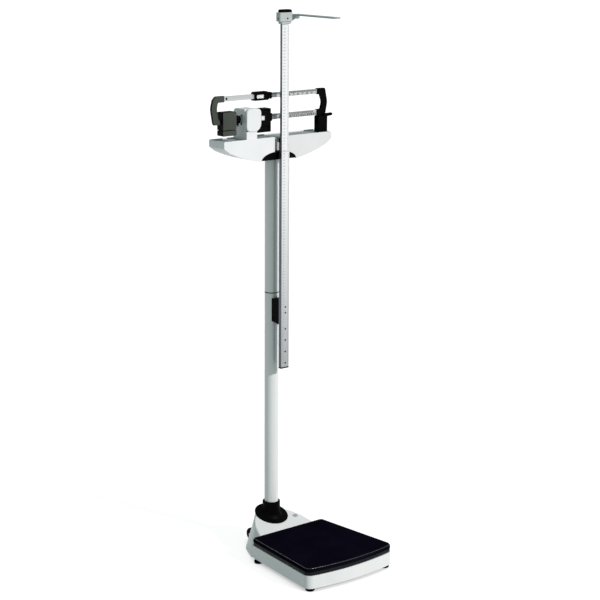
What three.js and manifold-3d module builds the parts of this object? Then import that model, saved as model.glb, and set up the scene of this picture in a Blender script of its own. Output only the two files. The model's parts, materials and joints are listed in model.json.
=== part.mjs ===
import * as THREE from 'three';
import { mergeVertices } from 'three/addons/utils/BufferGeometryUtils.js';
import Module from 'manifold-3d';

// Physician beam scale. Millimetres, +Z up, the platform in front at -Y, the beams along X.
// Pieces are laid out from the column's axis at the floor; the whole group is then moved so that the
// origin lies at the middle of the footprint.
const ORIGIN_X = -13.99;
const ORIGIN_Y = -180.75;

const GAP = 0.3; // between pieces that touch
const WELD = 1e-4; // vertices closer than this are one
const PAST = 1; // how far a cutting tool runs past the face it opens
const SIDES = [-1, 1];
const HIGH_ABOVE = 200; // above everything in the base

// Platform and base outline, in plan
const REAR_EDGE = -88;
const REAR_HALF = 151;
const FRONT_EDGE = -421;
const FRONT_HALF = 183;
const FRONT_BULGE = 19;
const CORNER = 24;
const REAR_CORNER = 12;
const MAT_TOP = 81;
const MAT_BOTTOM = 57;
const MAT_THICK = 3.2;
const PLATE_THICK = 3;
const PLATE_BOTTOM = 61;
const SKIRT_TOP = 55;
const SKIRT_BOTTOM = 11;
const SKIRT_WALL = 3.5;
const SKIRT_LIP = 0.5; // the skirt stands out this far past the mat
const BRIDGE_HALF = 149;
const PASSAGE_HALF = 128;
const ARCH_HIGH = 52;
const FRAME_LOW = 13;
const FRAME_HIGH = 18;
const FOOT_R = 15;
const FOOT_HIGH = 10;
const FOOT_FRONT = [160, -406];
const FOOT_REAR = [146, -118];
const STUD_R = 4;
const CASTOR_X = 41;
const CASTOR_Y = 57;
const CASTOR_Z = 25;
const CASTOR_R = 22;
const AXLE_R = 4;
const AXLE_HALF = 51;

// Hump behind the platform: half outlines in plan at three heights, front to back
const HUMP_WALL = 3.5;
const HUMP_LEVELS = [
  { z: 11, half: [[152, -86.5], [147, -72], [134, -43], [119, -12], [96, 16], [70, 41], [38, 64], [0, 72]] },
  { z: 60, half: [[126, -86.5], [121, -70], [112, -40], [96, -8], [74, 18], [51, 43], [31, 59], [0, 65]] },
  { z: 135, half: [[70, -86.5], [82, -70], [84, -40], [68, -8], [45, 18], [31, 40], [14, 51], [0, 54]] },
];
const TOP_RISE = 0.33; // slope of the hump's top, up towards the back
const TOP_AT_COLUMN = 106;
const LEVEL_X = 75;
const LEVEL_Y = -37;
const LEVEL_R = 9;

// Column
const TUBE_R = 23.75;
const TUBE_INNER = 21.9;
const TUBE_LOW = 60.3;
const SEAM_Z = 890;
const TUBE_HIGH = 1405;
const BOOT_DISC_R = 58;
const BOOT_COLLAR_R = 30;
const BOOT_COLLAR_TOP = 156;

// Height rod
const ROD_FRONT = -72;
const ROD_BACK = -58.6;
const ROD_HALF = 16.5;
const ROD_LOW = 645;
const ROD_HIGH = 1370;
const ROD_WALL = 1.6;
const ROD_HOLES = [659, 698, 737.5, 776, 831, 850.5];
const INNER_WALL = 1.4;
const INNER_LOW = 1066;
const INNER_HIGH = 1814.5;
const HINGE_Y = -66;
const HINGE_Z = 1800;
const ARM_NEAR = 25; // the arm stands beside the slide, to its right
const ARM_TIP = -280;
const SLIDE_LOW = 1778;
const SLIDE_TOP = 1814.5;

// Head housing
const HEAD_X = -11;
const HEAD_HALF = 221.5;
const HEAD_TOP = 1416;
const HEAD_END_LOW = 1388;
const HEAD_SAG = 54;
const HEAD_FRONT = -52;
const HEAD_SEAM = -10;
const HEAD_BACK = 30;
const HEAD_WALL = 3;
const RECESS_HALF = 28;
const ARCH_HALF = 71;
const ARCH_RISE = 27;
const ARCH_BASE = 1341;
const TRAY_LOW = 1409;
const TRAY_HIGH = 1412.5;
const DECK = 1412.8; // what stands on the tray starts here
const HEAD_FAR = 300;
const HEAD_LOWEST = 1300;
const HEAD_HIGHEST = 1500;
const PILLAR_SIDES = [-140, -97];
const PILLAR_BACK = 24;
const PILLAR_TOP = 1512;
const CAP_SIDES = [-141, -83];
const CAP_HEIGHTS = [1440, 1513];

// Beams
const BEAM_Y = -19;
const BEAM_HALF = 2.5;
const UPPER_LOW = 1540;
const UPPER_HIGH = 1556;
const LOWER_LOW = 1469;
const LOWER_HIGH = 1487;
const PIVOT_X = -116;
const PIVOT_Z = 1476;
const LINK_X = -132;
const TRANSFER_X = 80;
const TRANSFER_LOW = 1391;
const TRANSFER_HIGH = 1398;
const TRANSFER_Z = 1395;
const POISE_BORE = 2.9; // half the poises' channel
const WEIGHT_ENDS = [-225, -172];
const WEIGHT_DEPTH = [-37, -4];
const BRACKET_ENDS = [172, 207];
const LOCK_X = 196;
const LOCK_Z = 1460;
const END_HALF = 5;

// Levers in the base
const FULCRUM_FRONT = -398;
const FULCRUM_REAR = -106;
const LOAD_ARM = 45;
const MAIN_LOW = 34;
const MAIN_HIGH = 41;
const SHORT_LOW = 44;
const SHORT_HIGH = 50;
const LEVER_MEET = -252;
const FRONT_LOAD_X = 116;
const REAR_LOAD_X = 64;

const paint = (color, roughness, metalness = 0) =>
  new THREE.MeshStandardMaterial({ color, roughness, metalness });
const WHITE = paint(0xf2f4f3, 0.38);
const BLACK = paint(0x15140f, 0.5);
const RUBBER = paint(0x0c0b12, 0.85);
const STEEL = paint(0xb4b8ba, 0.3, 1);
const ALUMINIUM = paint(0xd3d7d6, 0.34, 1);
const GREY = paint(0x8b9698, 0.5);
const CAST = paint(0x3c3d3e, 0.6, 0.6);
const DARK = paint(0x4c4b43, 0.45);
const CLEAR = paint(0xf4f7f8, 0.1);

const wasm = await Module();
wasm.setup();

function solid(geometry) {
  const bare = geometry.clone();
  bare.deleteAttribute('normal');
  bare.deleteAttribute('uv');
  const merged = mergeVertices(bare, WELD);
  return new wasm.Manifold(new wasm.Mesh({
    numProp: 3,
    vertProperties: merged.attributes.position.array,
    triVerts: new Uint32Array(merged.index.array),
  }));
}

const join = (...all) => all.reduce((a, b) => a.add(b));
const cut = (from, ...tools) => tools.reduce((a, b) => a.subtract(b), from);

function box(x0, x1, y0, y1, z0, z1) {
  const g = new THREE.BoxGeometry(x1 - x0, y1 - y0, z1 - z0);
  return solid(g.translate((x0 + x1) / 2, (y0 + y1) / 2, (z0 + z1) / 2));
}

// A box centred on x and y.
const block = (x, y, halfX, halfY, z0, z1) => box(x - halfX, x + halfX, y - halfY, y + halfY, z0, z1);

function barX(radius, x0, x1, y, z, sides = 24) {
  const g = new THREE.CylinderGeometry(radius, radius, x1 - x0, sides).rotateZ(Math.PI / 2);
  return solid(g.translate((x0 + x1) / 2, y, z));
}

function barY(radius, y0, y1, x, z, sides = 24) {
  const g = new THREE.CylinderGeometry(radius, radius, y1 - y0, sides);
  return solid(g.translate(x, (y0 + y1) / 2, z));
}

function barZ(radius, z0, z1, x = 0, y = 0, sides = 24) {
  const g = new THREE.CylinderGeometry(radius, radius, z1 - z0, sides).rotateX(Math.PI / 2);
  return solid(g.translate(x, y, (z0 + z1) / 2));
}

const tubeZ = (outer, inner, z0, z1, sides = 48) =>
  cut(barZ(outer, z0, z1, 0, 0, sides), barZ(inner, z0 - PAST, z1 + PAST, 0, 0, sides));

// Corners given as [a, b, radius] become arcs; other points stay as they are.
function rounded(points, steps = 4) {
  const out = [];
  points.forEach(([a, b, radius], i) => {
    if (!radius) {
      out.push([a, b]);
      return;
    }
    const here = new THREE.Vector2(a, b);
    const before = new THREE.Vector2(...points.at(i - 1)).sub(here).normalize();
    const after = new THREE.Vector2(...points[(i + 1) % points.length]).sub(here).normalize();
    const half = Math.acos(THREE.MathUtils.clamp(before.dot(after), -1, 1)) / 2;
    const middle = before.clone().add(after).normalize().multiplyScalar(radius / Math.sin(half));
    const centre = here.clone().add(middle);
    const from = before.multiplyScalar(radius / Math.tan(half)).add(here).sub(centre);
    const turn = (Math.PI - 2 * half) * Math.sign(before.cross(after) || 1);
    const sign = Math.sign(from.cross(here.clone().sub(centre)));
    for (let k = 0; k <= steps; k++) {
      const at = from.clone().rotateAround(new THREE.Vector2(), (sign * Math.abs(turn) * k) / steps);
      out.push([centre.x + at.x, centre.y + at.y]);
    }
  });
  return out;
}

function extruded(points, depth) {
  const shape = new THREE.Shape(points.map(([a, b]) => new THREE.Vector2(a, b)));
  return new THREE.ExtrudeGeometry(shape, { depth, bevelEnabled: false });
}

// A flat outline of (x, y) points between two heights.
const slabZ = (points, z0, z1) => solid(extruded(points, z1 - z0).translate(0, 0, z0));

// A flat outline of (x, z) points between two y values.
const slabY = (points, y0, y1) => solid(extruded(points, y1 - y0).rotateX(Math.PI / 2).translate(0, y1, 0));

// A flat outline of (y, z) points between two x values.
function slabX(points, x0, x1) {
  const axes = new THREE.Matrix4().makeBasis(
    new THREE.Vector3(0, 1, 0), new THREE.Vector3(0, 0, 1), new THREE.Vector3(1, 0, 0));
  return solid(extruded(points, x1 - x0).applyMatrix4(axes).translate(x0, 0, 0));
}

// Skin through equally long closed outlines of (x, y) points, one per height, closed at both ends.
function loft(outlines, heights) {
  const count = outlines[0].length;
  const flat = (outline) => outline.map(([x, y]) => new THREE.Vector2(x, y));
  const positions = outlines.flatMap((outline, level) =>
    outline.flatMap(([x, y]) => [x, y, heights[level]]));
  const faces = [];
  for (let level = 0; level + 1 < outlines.length; level++) {
    for (let i = 0; i < count; i++) {
      const a = level * count + i;
      const b = level * count + ((i + 1) % count);
      faces.push(a, b, b + count, a, b + count, a + count);
    }
  }
  const last = (outlines.length - 1) * count;
  THREE.ShapeUtils.triangulateShape(flat(outlines[0]), []).forEach(([a, b, c]) => faces.push(c, b, a));
  THREE.ShapeUtils.triangulateShape(flat(outlines.at(-1)), []).forEach(([a, b, c]) =>
    faces.push(last + a, last + b, last + c));
  const g = new THREE.BufferGeometry();
  g.setAttribute('position', new THREE.Float32BufferAttribute(positions, 3));
  g.setIndex(faces);
  return solid(g);
}

function piece(name, made, material) {
  const { vertProperties, triVerts } = made.getMesh();
  const g = new THREE.BufferGeometry();
  g.setAttribute('position', new THREE.BufferAttribute(new Float32Array(vertProperties), 3));
  g.setIndex(new THREE.BufferAttribute(new Uint32Array(triVerts), 1));
  g.computeVertexNormals();
  const mesh = new THREE.Mesh(g, material);
  mesh.name = name;
  return mesh;
}

// Plan outline of the platform, drawn in by inset all round.
function plateOutline(inset, steps = 4) {
  const front = [];
  const bulgeSteps = 8;
  for (let i = 1; i < bulgeSteps; i++) {
    const t = 1 - (2 * i) / bulgeSteps;
    front.push([t * (FRONT_HALF - inset), FRONT_EDGE + inset - FRONT_BULGE * (1 - t * t)]);
  }
  return rounded([
    [-(REAR_HALF - inset), REAR_EDGE - inset, Math.max(REAR_CORNER - inset, 2)],
    [-(FRONT_HALF - inset), FRONT_EDGE + inset, Math.max(CORNER - inset, 4)],
    ...front.toReversed(),
    [FRONT_HALF - inset, FRONT_EDGE + inset, Math.max(CORNER - inset, 4)],
    [REAR_HALF - inset, REAR_EDGE - inset, Math.max(REAR_CORNER - inset, 2)],
  ], steps);
}

// ---- base ----

function humpOutline(half, inset) {
  const pull = ([x, y]) => {
    const back = Math.max(0, Math.min(1, (y + 60) / 120));
    return [Math.max(0, x - inset), y - inset * back + inset * (1 - back) * (y < -80 ? 1 : 0)];
  };
  const right = half.map(pull);
  const left = right.slice(0, -1).map(([x, y]) => [-x, y]);
  return [...right, ...left.toReversed()];
}

function humpSolid(inset, bottom) {
  const outlines = HUMP_LEVELS.map(({ half }) => humpOutline(half, inset));
  const heights = HUMP_LEVELS.map(({ z }, i) => (i ? z : bottom));
  const high = 200;
  const above = slabX([
    [-high, TOP_AT_COLUMN - inset - TOP_RISE * high], [high, TOP_AT_COLUMN - inset + TOP_RISE * high],
    [high, 2 * high], [-high, 2 * high],
  ], -high, high);
  return cut(loft(outlines, heights), above);
}

function baseHousing() {
  const ring = cut(
    slabZ(plateOutline(-SKIRT_LIP), SKIRT_BOTTOM, SKIRT_TOP),
    slabZ(plateOutline(SKIRT_WALL), SKIRT_BOTTOM - PAST, SKIRT_TOP + PAST));
  const shell = cut(humpSolid(0, SKIRT_BOTTOM), humpSolid(HUMP_WALL, SKIRT_BOTTOM - PAST));
  const bridge = box(-BRIDGE_HALF, BRIDGE_HALF, REAR_EDGE - 3, REAR_EDGE + 4, SKIRT_BOTTOM, SKIRT_TOP);
  const passage = box(-PASSAGE_HALF, PASSAGE_HALF, REAR_EDGE - 12, REAR_EDGE + 8,
    SKIRT_BOTTOM - PAST, SKIRT_TOP - 4);
  const columnHole = barZ(BOOT_COLLAR_R + 3, TUBE_LOW, HIGH_ABOVE, 0, 0, 32);
  const arches = SIDES.map((side) =>
    box(side * CASTOR_X - 18, side * CASTOR_X + 18, CASTOR_Y - 23, CASTOR_Y + 30, 0, ARCH_HIGH));
  const levelSeat = barZ(LEVEL_R + 0.4, TUBE_LOW, HIGH_ABOVE, LEVEL_X, LEVEL_Y, 20);
  const body = join(ring, shell, bridge);
  return piece('base_housing', cut(body, passage, columnHole, ...arches, levelSeat), WHITE);
}

function baseFrame() {
  const pan = join(
    slabZ(plateOutline(SKIRT_WALL + GAP), FRAME_LOW, FRAME_HIGH),
    slabZ([[-104, -100], [104, -100], [62, 34], [-62, 34]], FRAME_LOW, FRAME_HIGH));
  const front = SIDES.map((side) => block(side * 138, FULCRUM_FRONT, 8, 8, FRAME_LOW, MAIN_LOW - GAP));
  const rear = SIDES.map((side) => block(side * 96, FULCRUM_REAR, 7, 7, FRAME_LOW, SHORT_LOW - GAP));
  const ears = SIDES.map((side) =>
    box(side * 26 - 2, side * 26 + 2, 28, CASTOR_Y + 11, FRAME_LOW, CASTOR_Z + 9));
  const studs = [FOOT_FRONT, FOOT_REAR].flatMap(([x, y]) => [-x, x].map((at) =>
    barZ(STUD_R + 0.1, FRAME_LOW - PAST, FRAME_HIGH + PAST, at, y, 28)));
  const axle = barX(AXLE_R + 0.05, -CASTOR_X, CASTOR_X, CASTOR_Y, CASTOR_Z, 16);
  return piece('base_frame', cut(join(pan, ...front, ...rear, ...ears), ...studs, axle), CAST);
}

function foot(name, x, y) {
  const profile = [[0, 0], [FOOT_R - 2, 0], [FOOT_R, 2], [FOOT_R, FOOT_HIGH - 2], [FOOT_R - 2, FOOT_HIGH],
    [STUD_R, FOOT_HIGH], [STUD_R, FRAME_HIGH + 8], [0, FRAME_HIGH + 8]];
  const g = new THREE.LatheGeometry(profile.map(([r, z]) => new THREE.Vector2(r, z)), 28);
  return piece(name, solid(g.rotateX(Math.PI / 2).translate(x, y, 0)), RUBBER);
}

function castor(name, side) {
  const wheel = cut(
    barX(CASTOR_R, side * CASTOR_X - 7, side * CASTOR_X + 7, CASTOR_Y, CASTOR_Z, 32),
    barX(AXLE_R + 0.1, side * CASTOR_X - 8, side * CASTOR_X + 8, CASTOR_Y, CASTOR_Z, 16));
  return piece(name, wheel, BLACK);
}

const castorAxle = () =>
  piece('castor_axle', barX(AXLE_R, -AXLE_HALF, AXLE_HALF, CASTOR_Y, CASTOR_Z, 16), STEEL);

function arm(x0, y0, x1, y1, width, z0, z1) {
  const along = new THREE.Vector2(x1 - x0, y1 - y0).normalize();
  const side = new THREE.Vector2(-along.y, along.x).multiplyScalar(width / 2);
  return slabZ([[x0 - side.x, y0 - side.y], [x1 - side.x, y1 - side.y], [x1 + side.x, y1 + side.y],
    [x0 + side.x, y0 + side.y]], z0, z1);
}

function mainLever() {
  const knives = box(-148, 148, FULCRUM_FRONT - 6, FULCRUM_FRONT + 6, MAIN_LOW, MAIN_HIGH);
  const arms = SIDES.map((side) => arm(side * 134, FULCRUM_FRONT, side * 4, -62, 12, MAIN_LOW, MAIN_HIGH));
  const nose = box(-8, 8, -74, 9, MAIN_LOW, MAIN_HIGH);
  const cross = block(0, LEVER_MEET, 80, 6, MAIN_LOW, MAIN_HIGH);
  const rest = block(0, LEVER_MEET, 5, 2, MAIN_LOW, SHORT_LOW - GAP);
  const loads = SIDES.map((side) =>
    block(side * FRONT_LOAD_X, FULCRUM_FRONT + LOAD_ARM, 8, 2, MAIN_LOW, MAIN_HIGH + 2));
  const rodHole = barZ(3, MAIN_LOW - PAST, MAIN_HIGH + PAST, 0, 0, 16);
  return piece('main_lever', cut(join(knives, ...arms, nose, cross, rest, ...loads), rodHole), STEEL);
}

function shortLever() {
  const knives = box(-104, 104, FULCRUM_REAR - 5, FULCRUM_REAR + 5, SHORT_LOW, SHORT_HIGH);
  const arms = SIDES.map((side) =>
    arm(side * 90, FULCRUM_REAR, side * 4, LEVER_MEET + 4, 10, SHORT_LOW, SHORT_HIGH));
  const nose = box(-8, 8, LEVER_MEET - 5, LEVER_MEET + 16, SHORT_LOW, SHORT_HIGH);
  const loads = SIDES.map((side) =>
    block(side * REAR_LOAD_X, FULCRUM_REAR - LOAD_ARM, 6, 2, SHORT_LOW, SHORT_HIGH + 2));
  return piece('short_lever', join(knives, ...arms, nose, ...loads), STEEL);
}

function platformPlate() {
  const top = MAT_TOP - MAT_THICK - GAP;
  const inset = MAT_THICK + GAP;
  const tray = cut(slabZ(plateOutline(inset), PLATE_BOTTOM, top),
    slabZ(plateOutline(inset + PLATE_THICK), PLATE_BOTTOM - 1, top - PLATE_THICK));
  const front = SIDES.map((side) =>
    block(side * FRONT_LOAD_X, FULCRUM_FRONT + LOAD_ARM, 8, 7, MAIN_HIGH + 2 + GAP, top - 1));
  const rear = SIDES.map((side) =>
    block(side * REAR_LOAD_X, FULCRUM_REAR - LOAD_ARM, 7, 7, SHORT_HIGH + 2 + GAP, top - 1));
  return piece('platform_plate', join(tray, ...front, ...rear), CAST);
}

function platformMat() {
  const levels = [[0.8, MAT_BOTTOM], [0, MAT_BOTTOM + 2], [0, MAT_TOP - 7], [1.2, MAT_TOP - 3],
    [3.6, MAT_TOP - 0.8], [6.5, MAT_TOP]];
  const outer = loft(levels.map(([inset]) => plateOutline(inset)), levels.map(([, z]) => z));
  const inner = slabZ(plateOutline(MAT_THICK), MAT_BOTTOM - 1, MAT_TOP - MAT_THICK);
  return piece('platform_mat', cut(outer, inner), RUBBER);
}

function spiritLevel() {
  const z = TOP_AT_COLUMN + TOP_RISE * LEVEL_Y;
  const pot = barZ(LEVEL_R, z - 9, z + 1, LEVEL_X, LEVEL_Y, 24);
  const room = barZ(LEVEL_R - 2.4, z - 6, z + 2, LEVEL_X, LEVEL_Y, 24);
  return [
    piece('level_body', cut(pot, room), GREY),
    piece('level_vial', barZ(LEVEL_R - 2.7, z - 5.7, z + 0.4, LEVEL_X, LEVEL_Y, 24), CLEAR),
  ];
}

// ---- column ----

function columnSocket() {
  const top = TUBE_LOW - GAP;
  const walls = SIDES.map((side) => block(side * 27, 0, 3, 26, FRAME_HIGH + GAP, top));
  const bridge = block(0, 0, 30, 26, top - 6, top);
  const spigot = barZ(TUBE_INNER - GAP, top - 1, 112, 0, 0, 32);
  const rodWay = barZ(15, 50, 120, 0, 0, 24);
  return piece('column_socket', cut(join(...walls, bridge, spigot), rodWay), CAST);
}

function columnBoot() {
  const tilt = Math.atan(TOP_RISE);
  const lift = TOP_AT_COLUMN + GAP + 2.2;
  const disc = solid(new THREE.CylinderGeometry(BOOT_DISC_R - 1.2, BOOT_DISC_R, 3.6, 48)
    .rotateX(Math.PI / 2).rotateX(tilt).translate(0, 0, lift));
  const skirt = solid(new THREE.CylinderGeometry(BOOT_COLLAR_R, BOOT_COLLAR_R + 9, 9, 40)
    .rotateX(Math.PI / 2).rotateX(tilt).translate(0, 0, lift + 5));
  const collar = barZ(BOOT_COLLAR_R, 97, BOOT_COLLAR_TOP, 0, 0, 40);
  const bore = barZ(TUBE_R + GAP, TUBE_LOW, HIGH_ABOVE, 0, 0, 40);
  return piece('column_boot', cut(join(disc, skirt, collar), bore), BLACK);
}

const columnLower = () =>
  piece('column_lower', tubeZ(TUBE_R, TUBE_INNER, TUBE_LOW, SEAM_Z - 1.5), WHITE);

const columnRing = () =>
  piece('column_ring', tubeZ(TUBE_R + 0.1, TUBE_INNER, SEAM_Z - 1.2, SEAM_Z + 1.2), BLACK);

function columnUpper() {
  const slot = box(-40, 40, -7, 7, TRANSFER_LOW - 4, TUBE_HIGH + PAST);
  return piece('column_upper', cut(tubeZ(TUBE_R, TUBE_INNER, SEAM_Z + 1.5, TUBE_HIGH), slot), WHITE);
}

const columnSleeve = () =>
  piece('column_sleeve', tubeZ(TUBE_INNER - GAP, TUBE_INNER - 3, SEAM_Z - 60, SEAM_Z + 60, 32), STEEL);

function pullRod() {
  const shaft = barZ(2, MAIN_LOW - 7, TRANSFER_HIGH + 5, 0, 0, 12);
  const lowNut = barZ(5, MAIN_LOW - 6, MAIN_LOW - GAP, 0, 0, 6);
  const highNut = barZ(4.5, TRANSFER_HIGH + GAP, TRANSFER_HIGH + 4, 0, 0, 6);
  return piece('pull_rod', join(shaft, lowNut, highNut), STEEL);
}

// ---- height rod ----

function rodBracket(name, z0, z1, rise, half, front) {
  const wedge = slabX([[-8, z0], [front, z0 - rise], [front, z1 + rise], [-8, z1]].toReversed(), -half, half);
  return piece(name, cut(wedge, barZ(TUBE_R + GAP, z0 - 40, z1 + 40, 0, 0, 48)), BLACK);
}

const rodBracketMid = () => rodBracket('rod_bracket_mid', 796, 871, 6, 15, ROD_BACK + GAP);

function rodBracketTop() {
  return piece('rod_bracket_top', box(-13, 13, ROD_BACK + GAP, -49 - GAP, 1344, 1362), BLACK);
}

function rodOuter() {
  const bar = box(-ROD_HALF, ROD_HALF, ROD_FRONT, ROD_BACK, ROD_LOW, ROD_HIGH);
  const hollow = box(-ROD_HALF + ROD_WALL, ROD_HALF - ROD_WALL, ROD_FRONT + ROD_WALL, ROD_BACK - ROD_WALL,
    ROD_LOW - PAST, ROD_HIGH + PAST);
  const holes = ROD_HOLES.map((z) => barY(3.2, ROD_FRONT - PAST, ROD_FRONT + 3, 1.5, z, 16));
  return piece('rod_outer', cut(bar, hollow, ...holes), ALUMINIUM);
}

// A bar that lies inside the outer rod's outline, drawn in by inset all round.
const insideRod = (inset, z0, z1) =>
  box(-ROD_HALF + inset, ROD_HALF - inset, ROD_FRONT + inset, ROD_BACK - inset, z0, z1);

function rodInner() {
  const bar = insideRod(ROD_WALL + GAP, INNER_LOW, INNER_HIGH);
  const hollow = insideRod(ROD_WALL + GAP + INNER_WALL, INNER_LOW - PAST, INNER_HIGH + PAST);
  return piece('rod_inner', cut(bar, hollow), ALUMINIUM);
}

function rodPlug() {
  const cap = insideRod(0, ROD_LOW - 4.3, ROD_LOW - GAP);
  const stub = insideRod(ROD_WALL + GAP, ROD_LOW - 1, ROD_LOW + 12);
  return piece('rod_plug', join(cap, stub), BLACK);
}

function headSlide() {
  const plan = rounded([[-28, -77, 5], [24.5, -77, 5], [24.5, -53, 4], [-28, -53, 6]], 3);
  const body = slabZ(plan, 1786, SLIDE_TOP);
  const lipPlan = rounded([[-19, -74, 3], [22, -74, 3], [22, -54, 4], [-19, -54, 4]], 2);
  const lip = slabZ(lipPlan, SLIDE_LOW, 1787);
  const pinHole = barX(2.05, 16.7, 30, HINGE_Y, HINGE_Z, 16);
  const sideHole = barX(3.1, -33, -22.5, -67, 1795, 20);
  const frontHole = barY(3.1, -82, -73.3, 3, 1795, 20);
  const bore = insideRod(ROD_WALL, SLIDE_LOW - PAST, SLIDE_TOP + PAST);
  return piece('head_slide', cut(join(body, lip), pinHole, sideHole, frontHole, bore), GREY);
}

function slideCap() {
  const outline = (inset) => rounded([[-19 + inset, -76.5 + inset, 5], [23 - inset, -76.5 + inset, 5],
    [23 - inset, -51.5 - inset, 5], [-19 + inset, -51.5 - inset, 5]], 3);
  const levels = [[0, SLIDE_TOP + GAP], [0, 1820.5], [2.5, 1823.5]];
  const cap = loft(levels.map(([inset]) => outline(inset)), levels.map(([, z]) => z));
  return piece('slide_cap', cap, BLACK);
}

function armPin() {
  const shaft = barX(2, 17, ARM_NEAR + 31, HINGE_Y, HINGE_Z, 16);
  return piece('arm_pin', join(shaft, barX(3.6, ARM_NEAR + 30.4, ARM_NEAR + 32, HINGE_Y, HINGE_Z, 16)), STEEL);
}

function headArm() {
  const top = HINGE_Z + 8;
  const far = ARM_NEAR + 30;
  const blade = slabZ(rounded([[ARM_NEAR, HINGE_Y], [ARM_NEAR, -200], [ARM_NEAR + 1, ARM_TIP, 10],
    [far + 2, ARM_TIP, 12], [far + 3, -200], [far, -110], [far, HINGE_Y]], 4), top - 4, top);
  const web = slabX([[-62, 1787], [-69, 1787], [-101, top - 3], [-62, top - 3]].toReversed(),
    ARM_NEAR, ARM_NEAR + 5);
  const knuckle = barX(8, ARM_NEAR, far, HINGE_Y, HINGE_Z, 24);
  return piece('head_arm', cut(join(blade, web, knuckle), barX(2.1, 20, 60, HINGE_Y, HINGE_Z, 16)), GREY);
}

// ---- head ----

function crescent(inset, top = HEAD_TOP - inset) {
  const half = HEAD_HALF - inset;
  const radius = (HEAD_HALF ** 2 + HEAD_SAG ** 2) / (2 * HEAD_SAG);
  const centre = HEAD_END_LOW - HEAD_SAG + radius;
  const points = [];
  const steps = 20;
  for (let i = 0; i <= steps; i++) {
    const x = half * (1 - (2 * i) / steps);
    points.push([HEAD_X - x, centre - Math.sqrt((radius - inset) ** 2 - x * x)]);
  }
  const low = points[0][1] + 5;
  points[0] = [HEAD_X - half, low, 6];
  points[steps] = [HEAD_X + half, low, 6];
  const corner = inset ? 0 : 4;
  return rounded([...points, [HEAD_X + half, top, corner], [HEAD_X - half, top, corner]], 3);
}

function archOutline(grow, drop = 0) {
  const half = ARCH_HALF + grow;
  const rise = ARCH_RISE + grow;
  const points = [];
  const steps = 14;
  for (let i = 0; i <= steps; i++) {
    const t = (Math.PI * i) / steps;
    points.push([HEAD_X + half * Math.cos(t), ARCH_BASE + rise * Math.sin(t)]);
  }
  if (drop) points.push([HEAD_X - half, ARCH_BASE - drop], [HEAD_X + half, ARCH_BASE - drop]);
  return points;
}

// Everything in the head on one side of the column, from the distance near outwards.
function besideColumn(side, near) {
  const [x0, x1] = side < 0 ? [-HEAD_FAR, -near] : [near, HEAD_FAR];
  return box(x0, x1, -HEAD_FAR, HEAD_FAR, HEAD_LOWEST, HEAD_HIGHEST);
}

function wing(name, side) {
  const body = slabY(crescent(0), HEAD_FRONT, HEAD_SEAM - GAP).intersect(besideColumn(side, RECESS_HALF));
  const room = slabY(crescent(HEAD_WALL, HEAD_TOP + 5), HEAD_FRONT + HEAD_WALL, 0)
    .intersect(besideColumn(side, RECESS_HALF + HEAD_WALL));
  const pass = box(side * 30 - 6, side * 30 + 6, -22, 0, 1376, 1384);
  const arch = slabY(archOutline(GAP, 20), HEAD_FRONT - 1, 0);
  return piece(name, cut(body, room, pass, arch), WHITE);
}

const columnBore = () => barZ(TUBE_R + GAP, HEAD_LOWEST, HEAD_HIGHEST, 0, 0, 48);

function headBackCover() {
  const body = slabY(crescent(0), HEAD_SEAM, HEAD_BACK);
  const room = slabY(crescent(HEAD_WALL, HEAD_TOP + 5), HEAD_SEAM - 1, HEAD_BACK - HEAD_WALL);
  const arch = slabY(archOutline(GAP, 20), HEAD_SEAM - 1, GAP);
  return piece('head_back_cover', cut(body, room, columnBore(), arch), WHITE);
}

function headArch() {
  return piece('head_arch', cut(slabY(archOutline(0), -49, 0), columnBore()), BLACK);
}

function headTray() {
  const x0 = HEAD_X - HEAD_HALF + HEAD_WALL + GAP;
  const x1 = HEAD_X + HEAD_HALF - HEAD_WALL - GAP;
  const y0 = HEAD_FRONT + HEAD_WALL + GAP;
  const plate = box(x0, x1, y0, HEAD_BACK - HEAD_WALL - GAP, TRAY_LOW, TRAY_HIGH);
  const walls = SIDES.map((side) =>
    box(side * 29.7 - 2.3, side * 29.7 + 2.3, -60, HEAD_SEAM, TRAY_LOW - PAST, TRAY_HIGH + PAST));
  const linkHole = barZ(5, TRAY_LOW - PAST, TRAY_HIGH + PAST, LINK_X, BEAM_Y, 16);
  return piece('head_tray', cut(plate, ...walls, linkHole), GREY);
}

function headFrame() {
  const plate = box(-200, 176, -20, 24, 1378, 1382);
  const posts = [-120, -80, 158].map((x) => block(x, 15, 6, 5, 1380, TRAY_LOW - GAP));
  const ears = SIDES.map((side) => block(TRANSFER_X, side * 8, 6, 2, 1380, 1402));
  const clamp = cut(barZ(TUBE_R + 5, 1372, 1386, 0, 0, 48), box(-40, 40, 26.4, 40, 1360, 1400));
  const pivot = barY(2.05, -20, 20, TRANSFER_X, TRANSFER_Z, 16);
  const open = box(-40, 40, -40, -20, 1360, 1400);
  const linkHole = barZ(5, 1370, 1390, LINK_X, 0, 16);
  const body = join(plate, ...posts, ...ears, clamp);
  return piece('head_frame', cut(body, columnBore(), pivot, open, linkHole), CAST);
}

const transferPin = () => piece('transfer_pin', barY(2, -11, 11, TRANSFER_X, TRANSFER_Z, 16), STEEL);

function transferLever() {
  const bar = box(LINK_X - 6, TRANSFER_X + 8, -4, 4, TRANSFER_LOW, TRANSFER_HIGH);
  const foot = box(LINK_X - 6, LINK_X + 6, BEAM_Y - 6, 4, TRANSFER_LOW, TRANSFER_HIGH);
  const rodHole = barZ(3, 1380, 1410, 0, 0, 16);
  const pinHole = barY(2.1, -10, 10, TRANSFER_X, TRANSFER_Z, 16);
  const linkHole = barZ(2.3, 1380, 1410, LINK_X, BEAM_Y, 12);
  return piece('transfer_lever', cut(join(bar, foot), rodHole, pinHole, linkHole), STEEL);
}

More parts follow.
